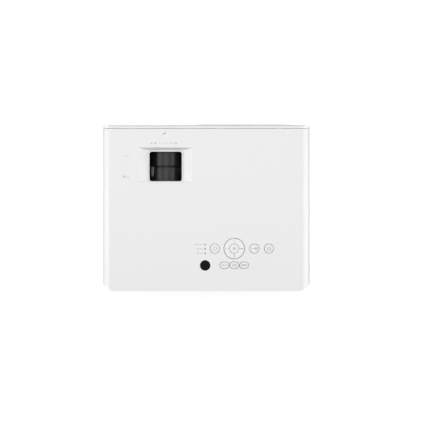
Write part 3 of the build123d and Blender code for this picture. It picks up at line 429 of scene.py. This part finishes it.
STEEL = Metal("turned_steel", (0.70, 0.70, 0.71), 0.25, 1500.0, (1.0, 0.04, 1.0), 0.004)
CAST = Metal("cast_alloy", (0.50, 0.51, 0.52), 0.55, 700.0, (1.0, 1.0, 1.0), 0.04)
BRASS = Metal("pin_brass", (0.75, 0.58, 0.28), 0.3, 1200.0, (1.0, 0.1, 1.0), 0.004)
FOOT_RUBBER = Rubber("foot_rubber")
COATED_GLASS = Glass("coated_glass", (0.80, 0.90, 0.97), (0.90, 0.84, 0.97))
LIGHT_PIPE = Glass("light_pipe", (0.82, 0.90, 0.84), (0.78, 0.86, 0.80), 0.2, 1.49)


# ------------------------------------------------------------------------------ print shapes
def bar(across: float, up: float, long: float, high: float, lean: float = 0.0) -> Outline:
    """A leaning rectangle, in millimetres and degrees."""
    cos, sin = math.cos(math.radians(lean)), math.sin(math.radians(lean))
    corners = [(-long / 2, -high / 2), (long / 2, -high / 2), (long / 2, high / 2), (-long / 2, high / 2)]
    return [(across + x * cos - y * sin, up + x * sin + y * cos) for x, y in corners]


def arc(across: float, up: float, outer: float, inner: float, start: float, end: float) -> Outline:
    """A piece of a ring between two angles, in millimetres and degrees."""
    steps = max(4, int(abs(end - start) / 15))
    angles = [math.radians(start + (end - start) * step / steps) for step in range(steps + 1)]
    rim = [(across + outer * math.cos(a), up + outer * math.sin(a)) for a in angles]
    return rim + [(across + inner * math.cos(a), up + inner * math.sin(a)) for a in reversed(angles)]


def ring(across: float, up: float, outer: float, inner: float) -> List[Outline]:
    """A full ring as two half rings."""
    return [arc(across, up, outer, inner, 0, 180), arc(across, up, outer, inner, 180, 360)]


def disc(across: float, up: float, radius: float, sides: int = 20) -> Outline:
    """A filled circle, or a regular polygon with few sides."""
    turns = [2 * math.pi * side / sides for side in range(sides)]
    return [(across + radius * math.cos(turn), up + radius * math.sin(turn)) for turn in turns]


def rim(across: float, up: float, long: float, high: float, wide: float) -> List[Outline]:
    """A band of painted shade round a key's hole, as two halves; a round hole has equal sides."""
    hole = high / 2
    halves = []
    for side in (1, -1):
        centre = across + side * (long - high) / 2
        turns = [math.radians(-90 * side + 15 * step) for step in range(13)]
        outside = [(centre + (hole + wide) * math.cos(t), up + (hole + wide) * math.sin(t)) for t in turns]
        inside = [(centre + hole * math.cos(t), up + hole * math.sin(t)) for t in reversed(turns)]
        joint = [(across, up + side * (hole + wide)), (across, up + side * hole)]
        start = [(across, up - side * hole), (across, up - side * (hole + wide))]
        halves.append(outside + joint + inside + start)
    return halves


def arrow(across: float, up: float, size: float, heading: float) -> Outline:
    """A filled triangle that points along a heading in degrees."""
    places = [(size, 0), (-size * 0.6, size * 0.9), (-size * 0.6, -size * 0.9)]
    cos, sin = math.cos(math.radians(heading)), math.sin(math.radians(heading))
    return [(across + x * cos - y * sin, up + x * sin + y * cos) for x, y in places]


@dataclass
class Print:
    """A set of printed marks on one side of the case, also used to draw painted shade.

    Attributes:
        name: The piece's name.
        body: The body that it rides on.
        face: The side that it lies on.
        origin: The reader's zero point, across and up, in millimetres.
        level: The printed plane, in millimetres along the side's normal.
        tone: The ink.
        outlines: The marks, in millimetres from the origin.
        thick: The ink's thickness in millimetres.
    """

    name: str
    body: str
    face: Face
    origin: Tuple[float, float]
    level: float
    tone: Tone
    outlines: List[Outline]
    thick: float = 0.04

    def build(self) -> bpy.types.Object:
        """Build the marks as one thin mesh.

        Returns:
            The new object.
        """
        mesh = bmesh.new()
        for outline in self.outlines:
            low, high = [], []
            for across, up in outline:
                place = (self.origin[0] + across, self.origin[1] + up)
                for store, level in ((low, self.level - 0.01), (high, self.level + self.thick)):
                    store.append(mesh.verts.new(self.face.point(place[0] * MM, place[1] * MM, level * MM)))
            mesh.faces.new(high)
            mesh.faces.new(list(reversed(low)))
            for index in range(len(high)):
                after = (index + 1) % len(high)
                mesh.faces.new((low[index], low[after], high[after], high[index]))
        bmesh.ops.recalc_face_normals(mesh, faces=mesh.faces)
        return finish_mesh(self.name, mesh, self.body)


def finish_mesh(name: str, mesh: bmesh.types.BMesh, body: str) -> bpy.types.Object:
    """Turn a bmesh into an object that rides on a body.

    Args:
        name: The object's name.
        mesh: The mesh, which is freed.
        body: The body's name.

    Returns:
        The new object.
    """
    data = bpy.data.meshes.new(name)
    mesh.to_mesh(data)
    mesh.free()
    made = bpy.data.objects.new(name, data)
    bpy.context.scene.collection.objects.link(made)
    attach(made, body)
    return made


def slab(mesh: bmesh.types.BMesh, low: Sequence[float], high: Sequence[float]) -> None:
    """Add a box between two corners in millimetres to a mesh."""
    cube = bmesh.ops.create_cube(mesh, size=1.0)["verts"]
    for vert in cube:
        vert.co = Vector([(low[i] + (high[i] - low[i]) * (vert.co[i] + 0.5)) * MM for i in range(3)])


def soften(name: str, radius: float, sharper: float) -> None:
    """Round a CAD node's sharp edges with a modifier.

    Args:
        name: The node's name.
        radius: The rounding in millimetres.
        sharper: The angle in degrees from which an edge is rounded.
    """
    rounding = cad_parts[name].modifiers.new("soft_edges", "BEVEL")
    rounding.width = radius * MM
    rounding.segments = 4
    rounding.limit_method = "ANGLE"
    rounding.angle_limit = math.radians(sharper)


# ------------------------------------------------------------------------------ sub-assemblies
@dataclass
class SubAssembly:
    """A group of pieces that is built and dressed together."""

    store: Store
    pieces: List[bpy.types.Object] = field(default_factory=list)

    def build(self) -> None:
        """Build this group's own pieces."""

    def dress(self) -> None:
        """Give this group's CAD nodes their finishes."""

    def mark(self, marks: Print) -> None:
        """Build one print and ink it."""
        made = marks.build()
        self.store.coat(made, Ink(marks.tone))
        self.pieces.append(made)


@dataclass
class Housing(SubAssembly):
    """The case: covers, front panel, feet, screws and the foam behind its louvres.

    Attributes:
        foam_thick: Thickness of the filter foam, in millimetres as every size here.
        foam_level: Lowest and highest level of the foams at the sides.
        front_foam_low: Lowest level of the foam at the front, which ends over the tray.
        front_foam_across: Left and right end of the foam at the front.
        front_foam_y: Outer face of the foam at the front.
        side_foam_x: Outer face of the foams at the sides, from the middle.
        exhaust_foam_y: Front and back end of the foam at the exhaust.
        intake_foam_y: Front and back end of the foam at the intake.
        window_marks_at: The reader's zero point of the marks in front of the ring window.
        side_marks_at: The same for the marks beside it.
        corner_mark_at: The same for the small mark near the front edge.
    """

    foam_thick: float = 1.5
    foam_level: Tuple[float, float] = (51.0, 96.0)
    front_foam_low: float = 56.0
    front_foam_across: Tuple[float, float] = (-129.0, 7.0)
    front_foam_y: float = -119.6
    side_foam_x: float = 153.4
    exhaust_foam_y: Tuple[float, float] = (57.0, 110.0)
    intake_foam_y: Tuple[float, float] = (-93.0, -11.0)
    window_marks_at: Tuple[float, float] = (-61.8, 96.4)
    side_marks_at: Tuple[float, float] = (-121.0, 62.5)
    corner_mark_at: Tuple[float, float] = (-63.4, 110.5)

    def build(self) -> None:
        """Build the filter foams and the prints round the ring window; the pale side marks are painted shade
        of embossed signs.
        """
        mesh = bmesh.new()
        low, high = self.foam_level
        left, right = self.front_foam_across
        inner_x = self.side_foam_x - self.foam_thick
        inner_y = self.front_foam_y + self.foam_thick
        slab(mesh, (left, self.front_foam_y, self.front_foam_low), (right, inner_y, high))
        front, back = self.exhaust_foam_y
        slab(mesh, (-self.side_foam_x, front, low), (-inner_x, back, high))
        front, back = self.intake_foam_y
        slab(mesh, (inner_x, front, low), (self.side_foam_x, back, high))
        foam = finish_mesh("filter_foam", mesh, "case")
        self.store.coat(foam, Foam("filter_foam"))
        self.pieces.append(foam)
        leaf = [bar(-0.8, -0.4, 6.0, 0.7, 38), bar(1.0, 1.0, 5.0, 1.3, 38)]
        prints = (
            ("window_marks", self.window_marks_at, Tone.GREY, self.window_marks()),
            # painted shade: the pale side marks stand in for the relief of embossed signs
            ("side_marks", self.side_marks_at, Tone.PALE, self.side_marks()),
            ("corner_mark", self.corner_mark_at, Tone.PALE, leaf),
        )
        for name, place, tone, outlines in prints:
            self.mark(Print(name, "case", Face.TOP, place, top_of("top_cover"), tone, outlines))

    def window_marks(self) -> List[Outline]:
        """Direction signs for the rings: two arrows, ticks that grow, and a dot."""
        marks = [disc(-20.0, 0, 0.9), arrow(16.5, 0, 1.5, 0), arrow(-14.5, 0, 1.5, 180)]
        marks += [bar(-8.0 + 4.0 * step, 0, 0.6, 1.0 + 0.35 * step) for step in range(6)]
        return marks

    def side_marks(self) -> List[Outline]:
        """Embossed signs beside the rings, drawn as pale painted shade of their relief: two peaks, a dot
        over them and a curved arrow at the top.
        """
        large = [(-5.5, -17.4), (1.0, -17.4), (-2.2, -13.9)]
        small = [(1.6, -17.4), (5.4, -17.4), (3.5, -15.4)]
        return [large, small, disc(-4.0, 0, 0.8), arc(0, 9.4, 5.5, 4.9, 55, 125), arrow(3.6, 13.9, 1.1, -40)]

    def dress(self) -> None:
        """Finish the case's nodes."""
        self.store.coat_node("top_cover bottom_case front_bezel tray_door", CASE_WHITE)
        self.store.coat_node("ir_window_top ir_window_front", WINDOW_BLACK)
        self.store.coat_node("led_light_pipes", LIGHT_PIPE)
        self.store.coat_node("case_screws", ZINC)
        self.store.coat_node("front_foot rear_foot_adjuster rear_foot_fixed", FOOT_RUBBER)


@dataclass
class ControlPad(SubAssembly):
    """Keys, navigation ring, their printed signs and the painted shade round the keys.

    Attributes:
        light_pitch: From one status light to the next, in millimetres as every size here.
        light_gap: From a light to its leader line.
        leader_start: From the middle of a light's sign to its leader line.
        leader_wide: Width of the leader lines.
        stroke: Width of the signs' lines.
        rim_wide: Width of the bands of painted shade round the keys.
        rim_thick: Thickness of those bands.
        round_hole: Length and width of the round keys' holes in the cover.
        ring_hole: The same for the navigation ring.
        oval_hole: The same for the long keys.
        sign_reach: From the navigation ring's middle to the middle of its signs.
    """

    light_pitch: float = 6.7
    light_gap: float = 3.2
    leader_start: float = 2.4
    leader_wide: float = 0.4
    stroke: float = 0.5
    rim_wide: float = 0.6
    rim_thick: float = 0.02
    round_hole: Tuple[float, float] = (13.9, 13.9)
    ring_hole: Tuple[float, float] = (31.0, 31.0)
    oval_hole: Tuple[float, float] = (13.6, 9.8)
    sign_reach: float = 11.4

    def sign(self, key: str, outlines: List[Outline]) -> None:
        """Print a sign on a key, centred on it."""
        x, y, _ = middle(key)
        self.mark(Print(f"sign_{key}", key, Face.TOP, (-x, -y), top_of(key), Tone.GREY, outlines))

    def build(self) -> None:
        """Print every key's sign and the three signs beside the lights, and draw the painted shade round the
        keys.
        """
        wide = self.stroke
        cover = top_of("top_cover")
        power = [arc(0, 0, 3.0, 3.0 - wide, -235, 55), bar(0, 1.9, wide, 3.0)]
        self.sign("key_power", power)
        source = [bar(-1.4, 0, 6.2, wide), arrow(2.2, 0, 1.1, 0), bar(4.2, 0, wide, 3.2)]
        source += [bar(2.6, side * 1.5, 3.4, wide) for side in (-1, 1)]
        self.sign("key_source", source)
        blank = [bar(side * 2.6, 0.9, wide, 3.0) for side in (-1, 1)]
        blank += [bar(0, up, 5.6, wide) for up in (2.2, -0.4)] + [bar(0, -2.2, 7.6, 0.6)]
        self.sign("key_blank", blank)
        back = [bar(0.8, 0, 6.4, wide), arrow(-2.9, 0, 1.3, 180), bar(3.8, 0.8, wide, 2.0)]
        self.sign("key_back", back)
        menu = [bar(0.8, 1.2 * step, 5.6, wide) for step in (-1, 0, 1)]
        menu += [disc(-3.2, 1.2 * step, 0.4) for step in (-1, 0, 1)]
        self.sign("key_menu", menu)
        info = [bar(0, side * 0.9, 8.0, wide) for side in (-1, 1)] + [bar(0, 0, 4.4, wide)]
        info += [bar(side * 4.0, 0, wide, 2.2) for side in (-1, 1)]
        self.sign("key_info", info)
        self.sign("key_ok", ring(0, 0, 2.3, 2.3 - wide) + [disc(0, 0, 0.8)])
        self.sign("nav_ring", self.ring_signs())
        # painted shade: grey bands on the cover round every key stand in for the shade in the gaps
        gap_shade_bands = self.painted_key_gap_shade()
        self.mark(Print("painted_key_gap_shade", "case", Face.TOP, (0.0, 0.0), cover, Tone.RIM, gap_shade_bands, self.rim_thick))
        lamp = ring(0, 0.5, 1.1, 0.75) + [bar(0, -1.2, 1.0, 0.4)]
        heat = ring(0, -0.9, 0.8, 0.45) + [bar(0, 0.7, 0.5, 1.7)]
        small_power = [arc(0, 0, 1.2, 0.85, -235, 55), bar(0, 0.8, 0.35, 1.2)]
        rows = (("power", -1, small_power, 8.0), ("heat", 0, heat, 5.6), ("lamp", 1, lamp, 5.6))
        light_x, light_y, _ = middle("led_light_pipes")
        for name, step, sign, long in rows:
            marks = sign + [bar(self.leader_start + long / 2, 0, long, self.leader_wide)]
            sign_x = light_x + self.light_gap + long + self.leader_start
            place = (-sign_x, -(light_y + step * self.light_pitch))
            self.mark(Print(f"light_sign_{name}", "case", Face.TOP, place, cover, Tone.GREY, marks))

    def painted_key_gap_shade(self) -> List[Outline]:
        """Painted shade on the cover round every key: a grey band as wide as its softened edge, standing in
        for the shade of the gap.
        """
        holes = {key: self.round_hole for key in ("key_power", "key_source", "key_blank")}
        holes["nav_ring"] = self.ring_hole
        holes.update({key: self.oval_hole for key in ("key_info", "key_menu", "key_back")})
        bands = []
        for key, (long, high) in holes.items():
            x, y, _ = middle(key)
            bands += rim(-x, -y, long, high, self.rim_wide)
        return bands

    def ring_signs(self) -> List[Outline]:
        """Signs of the navigation ring: heads that point outwards, each with its own small mark."""
        reach = self.sign_reach
        up = [arrow(0, reach + 1.4, 0.9, 90), bar(0, reach - 1.6, 1.6, 1.0)]
        down = [arrow(0, -reach - 1.2, 1.1, -90), bar(0, -reach + 1.6, 0.9, 3.4)]
        left = [arrow(-reach - 1.2, 0, 0.9, 180), disc(-reach + 2.0, 0, 0.7, 8)]
        right = [arrow(reach + 1.2, 0, 1.0, 0), bar(reach - 1.4, 0, 4.6, 0.7)]
        return up + down + left + right

    def dress(self) -> None:
        """Finish the keys and what is under them."""
        keys = "key_power key_source key_blank key_back key_menu key_info key_ok nav_ring eject_button"
        self.store.coat_node(keys, KEY_WHITE)
        self.store.coat_node("nav_gimbal", BLACK_GRAIN)
        self.store.coat_node("dome_switches", STEEL)
        self.store.coat_node("keypad_board", Laminate("keypad_laminate", BARE_BOARD))


@dataclass
class LensUnit(SubAssembly):
    """Barrel, rings, glass and trim of the lens.

    Attributes:
        tab_reach: From the lens axis to the end of the zoom ring's tab, in metres.
        tab_from: Share of that reach from which the tab's crown is painted grey as a highlight.
        tab_grey: The grey of the painted highlight on the tab's crown.
        rounding: Rounding of the zoom ring's edges, in millimetres.
        round_from: The angle in degrees from which its edges are rounded.
    """

    tab_reach: float = 0.031
    tab_from: float = 0.955
    tab_grey: Colour = (0.25, 0.25, 0.255)
    rounding: float = 1.7
    round_from: float = 60.0

    def dress(self) -> None:
        """Finish the lens."""
        self.store.coat_node("focus_ring", RING_BLACK)
        x, _, z = middle("focus_ring")
        # painted highlight: the crown of the zoom ring's black tab is painted grey to stand in for its lit
        # face
        tones = ((0.0, RING_BLACK.colour), (self.tab_from, self.tab_grey))
        ring_and_tab_highlight = Radial("ring_and_painted_tab_highlight", (x * MM, z * MM), "XZ", self.tab_reach, tones, rough=0.44)
        self.store.coat_node("zoom_ring", ring_and_tab_highlight)
        soften("zoom_ring", self.rounding, self.round_from)
        self.store.coat_node("lens_barrel lens_trim_ring", BLACK_METAL)
        self.store.coat_node("lens_retainer front_lens_cell", BLACK_GRAIN)
        self.store.coat_node("front_lens_element", COATED_GLASS)


@dataclass
class LightEngine(SubAssembly):
    """Everything between the lamp and the lens, with both fans.

    Attributes:
        wheel_reach: The colour wheel's radius, in metres.
    """

    wheel_reach: float = 0.020

    def dress(self) -> None:
        """Finish the engine's nodes."""
        self.store.coat_node("light_engine_housing light_source_module imager_heatsink", CAST)
        self.store.coat_node("imager_board", Laminate("imager_laminate", BARE_BOARD))
        self.store.coat_node("colour_wheel_motor", STEEL)
        tints = ((0.75, 0.06, 0.05), (0.06, 0.55, 0.10), (0.05, 0.12, 0.75))
        tints += ((0.85, 0.85, 0.88), (0.80, 0.70, 0.08))
        rings = ((0.0, (0.5, 0.5, 0.5)), (0.30, (0.7, 0.7, 0.72)), (0.45, (0.6, 0.6, 0.65)))
        x, _, z = middle("colour_wheel")
        middle_line = (x * MM, z * MM)
        wheel = Radial("wheel_glass", middle_line, "XZ", self.wheel_reach, rings, tints, 0.45, 0.08, 0.6)
        self.store.coat_node("colour_wheel", wheel)
        fans = "exhaust_fan_frame intake_fan_frame exhaust_fan_rotor intake_fan_rotor"
        self.store.coat_node(fans, BLACK_GRAIN)


@dataclass
class Electronics(SubAssembly):
    """Boards, sockets and speaker.

    Attributes:
        board_thick: Thickness of a circuit board, in metres.
        cone_reach: The speaker's radius, in metres.
    """

    board_thick: float = 0.0016
    cone_reach: float = 0.0183

    def dress(self) -> None:
        """Finish the boards, sockets and speaker."""
        main_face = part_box("main_board")[0].z + self.board_thick
        supply_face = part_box("power_supply_board")[0].z + self.board_thick
        self.store.coat_node("main_board", Laminate("main_laminate", main_face))
        supply = Laminate("supply_laminate", supply_face, (0.16, 0.10, 0.03))
        self.store.coat_node("power_supply_board", supply)
        self.store.coat_node("rear_panel", GREY_GRAIN)
        self.store.coat_node("ac_inlet audio_jacks", BLACK_GRAIN)
        self.store.coat_node("ac_inlet_pins", BRASS)
        self.store.coat_node("hdmi_ports usb_port", ZINC)
        self.store.coat_node("d_sub_ports", SOCKET_BLUE)
        rings = ((0.0, (0.03, 0.03, 0.03)), (0.30, (0.012, 0.012, 0.012)), (0.75, (0.05, 0.05, 0.05)))
        _, y, z = middle("speaker")
        cone = Radial("speaker_cone", (y * MM, z * MM), "YZ", self.cone_reach, rings, rough=0.7)
        self.store.coat_node("speaker", cone)


@dataclass
class DiscPlayer(SubAssembly):
    """Tray, its drive and the parts that play the disc."""

    def build(self) -> None:
        """Print a disc sign on the tray door."""
        outlines = ring(0, 0, 3.6, 3.1) + ring(0, 0, 1.2, 0.8)
        x, _, z = middle("tray_door")
        face = round(-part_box("tray_door")[0].y / MM, 1)
        self.mark(Print("sign_disc", "tray", Face.FRONT, (x, z), face, Tone.GREY, outlines))

    def dress(self) -> None:
        """Finish the player's nodes."""
        self.store.coat_node("drive_chassis drive_lid drive_motors", ZINC)
        self.store.coat_node("guide_rods", STEEL)
        self.store.coat_node("disc_tray laser_sled disc_clamp", BLACK_GRAIN)
        self.store.coat_node("loading_gear loading_pinion turntable", RESIN)


# ------------------------------------------------------------------------------ studio
@dataclass(frozen=True)
class SoftBox:
    """A rectangular lamp.

    Attributes:
        name: The lamp's name.
        place: Where it hangs, in metres.
        size: Its two sides, in metres.
        power: Its power in watts.
    """

    name: str
    place: Tuple[float, float, float]
    size: Tuple[float, float]
    power: float


@dataclass
class Studio:
    """Floor, lights, world and the camera that looks straight down.

    Attributes:
        centre: The point of the floor under the camera, in metres as every length here.
        plane: Level of the case's top.
        width: What the picture spans at that level.
        height: The camera's level.
        sky_middle: The world's strength overhead and towards front and rear.
        sky_sides: Its strength to the left and right.
        paper: The floor's colour.
        lift: The glow that the camera alone sees on the floor.
        floor_half: Size of the floor's grid.
        aim: The point that the lamps aim at.
        lamps: The soft boxes.
    """

    centre: Tuple[float, float] = (-0.02055, 0.01875)
    plane: float = 0.1095
    width: float = 0.660
    height: float = 1.9
    sky_middle: float = 0.262
    sky_sides: float = 0.30
    paper: Colour = (0.16, 0.16, 0.16)
    lift: float = 0.90
    floor_half: float = 6.0
    aim: Tuple[float, float, float] = (0.0, 0.0, 0.08)
    lamps: Tuple[SoftBox, ...] = (
        SoftBox("overhead", (0.055, -0.17, 2.2), (0.45, 0.40), 7.0),
        SoftBox("left_box", (1.4, 0.0, 0.73), (0.7, 1.6), 16.5),
        SoftBox("right_box", (-1.4, 0.0, 0.73), (0.7, 1.6), 16.5),
        SoftBox("front_box", (0.0, -1.4, 0.60), (1.6, 0.5), 4.0),
    )

    def build(self) -> None:
        """Set the whole stage."""
        self.floor()
        self.world()
        for box in self.lamps:
            self.lamp(box)
        self.camera()
        view = bpy.context.scene.view_settings
        view.view_transform = "Standard"

    def floor(self) -> None:
        """Lay a pale floor that keeps the shadow."""
        mesh = bmesh.new()
        bmesh.ops.create_grid(mesh, x_segments=1, y_segments=1, size=self.floor_half)
        data = bpy.data.meshes.new("floor")
        mesh.to_mesh(data)
        mesh.free()
        made = bpy.data.objects.new("floor", data)
        bpy.context.scene.collection.objects.link(made)
        material = bpy.data.materials.new("floor_paper")
        material.use_nodes = True
        tree = material.node_tree
        tree.nodes.clear()
        path = tree.nodes.new("ShaderNodeLightPath")
        paper = tree.nodes.new("ShaderNodeBsdfDiffuse")
        paper.inputs["Color"].default_value = (*self.paper, 1.0)
        glow = tree.nodes.new("ShaderNodeEmission")
        glow.inputs["Color"].default_value = (1.0, 1.0, 1.0, 1.0)
        seen = tree.nodes.new("ShaderNodeMath")
        seen.operation = "MULTIPLY"
        seen.inputs[1].default_value = self.lift
        both = tree.nodes.new("ShaderNodeAddShader")
        out = tree.nodes.new("ShaderNodeOutputMaterial")
        tree.links.new(path.outputs["Is Camera Ray"], seen.inputs[0])
        tree.links.new(seen.outputs[0], glow.inputs["Strength"])
        tree.links.new(paper.outputs[0], both.inputs[0])
        tree.links.new(glow.outputs[0], both.inputs[1])
        tree.links.new(both.outputs[0], out.inputs["Surface"])
        data.materials.append(material)

    def world(self) -> None:
        """Light softly from all round, with white behind the object."""
        world = bpy.data.worlds.new("studio")
        bpy.context.scene.world = world
        world.use_nodes = True
        tree = world.node_tree
        back = tree.nodes["Background"]
        back.inputs["Color"].default_value = (1.0, 1.0, 1.0, 1.0)
        place = tree.nodes.new("ShaderNodeTexCoord")
        parts = tree.nodes.new("ShaderNodeSeparateXYZ")
        sideways = tree.nodes.new("ShaderNodeMath")
        sideways.operation = "MULTIPLY"
        sky = tree.nodes.new("ShaderNodeMapRange")
        sky.inputs["To Min"].default_value = self.sky_middle
        sky.inputs["To Max"].default_value = self.sky_sides
        path = tree.nodes.new("ShaderNodeLightPath")
        seen = tree.nodes.new("ShaderNodeMapRange")
        seen.inputs["To Max"].default_value = 1.0
        tree.links.new(place.outputs["Generated"], parts.inputs[0])
        for socket in (0, 1):
            tree.links.new(parts.outputs["X"], sideways.inputs[socket])
        tree.links.new(sideways.outputs[0], sky.inputs["Value"])
        tree.links.new(sky.outputs[0], seen.inputs["To Min"])
        tree.links.new(path.outputs["Is Camera Ray"], seen.inputs["Value"])
        tree.links.new(seen.outputs[0], back.inputs["Strength"])

    def lamp(self, box: SoftBox) -> None:
        """Hang a soft box that aims at the object."""
        data = bpy.data.lights.new(box.name, "AREA")
        data.shape = "RECTANGLE"
        data.size, data.size_y = box.size
        data.energy = box.power
        made = bpy.data.objects.new(box.name, data)
        bpy.context.scene.collection.objects.link(made)
        made.location = box.place
        made.rotation_mode = "QUATERNION"
        made.rotation_quaternion = (Vector(self.aim) - Vector(box.place)).to_track_quat("-Z", "Y")

    def camera(self) -> None:
        """Look straight down, with the front of the case at the picture's top."""
        data = bpy.data.cameras.new("camera")
        data.sensor_width = 36.0
        data.lens = 36.0 * (self.height - self.plane) / self.width
        made = bpy.data.objects.new("camera", data)
        bpy.context.scene.collection.objects.link(made)
        made.location = (*self.centre, self.height)
        made.rotation_euler = (0.0, 0.0, math.pi)
        bpy.context.scene.camera = made


def main() -> None:
    """Build and dress each sub-assembly in turn, then set the studio."""
    logging.basicConfig(level=logging.INFO, format="%(name)s: %(message)s")
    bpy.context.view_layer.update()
    store = Store()
    for kind in (Housing, ControlPad, LensUnit, LightEngine, Electronics, DiscPlayer):
        group = kind(store)
        group.build()
        group.dress()
        for piece in group.pieces:
            LOG.info("%s: %s, %d faces", kind.__name__, piece.name, len(piece.data.polygons))
    Studio().build()


if __name__ == "__main__":
    main()
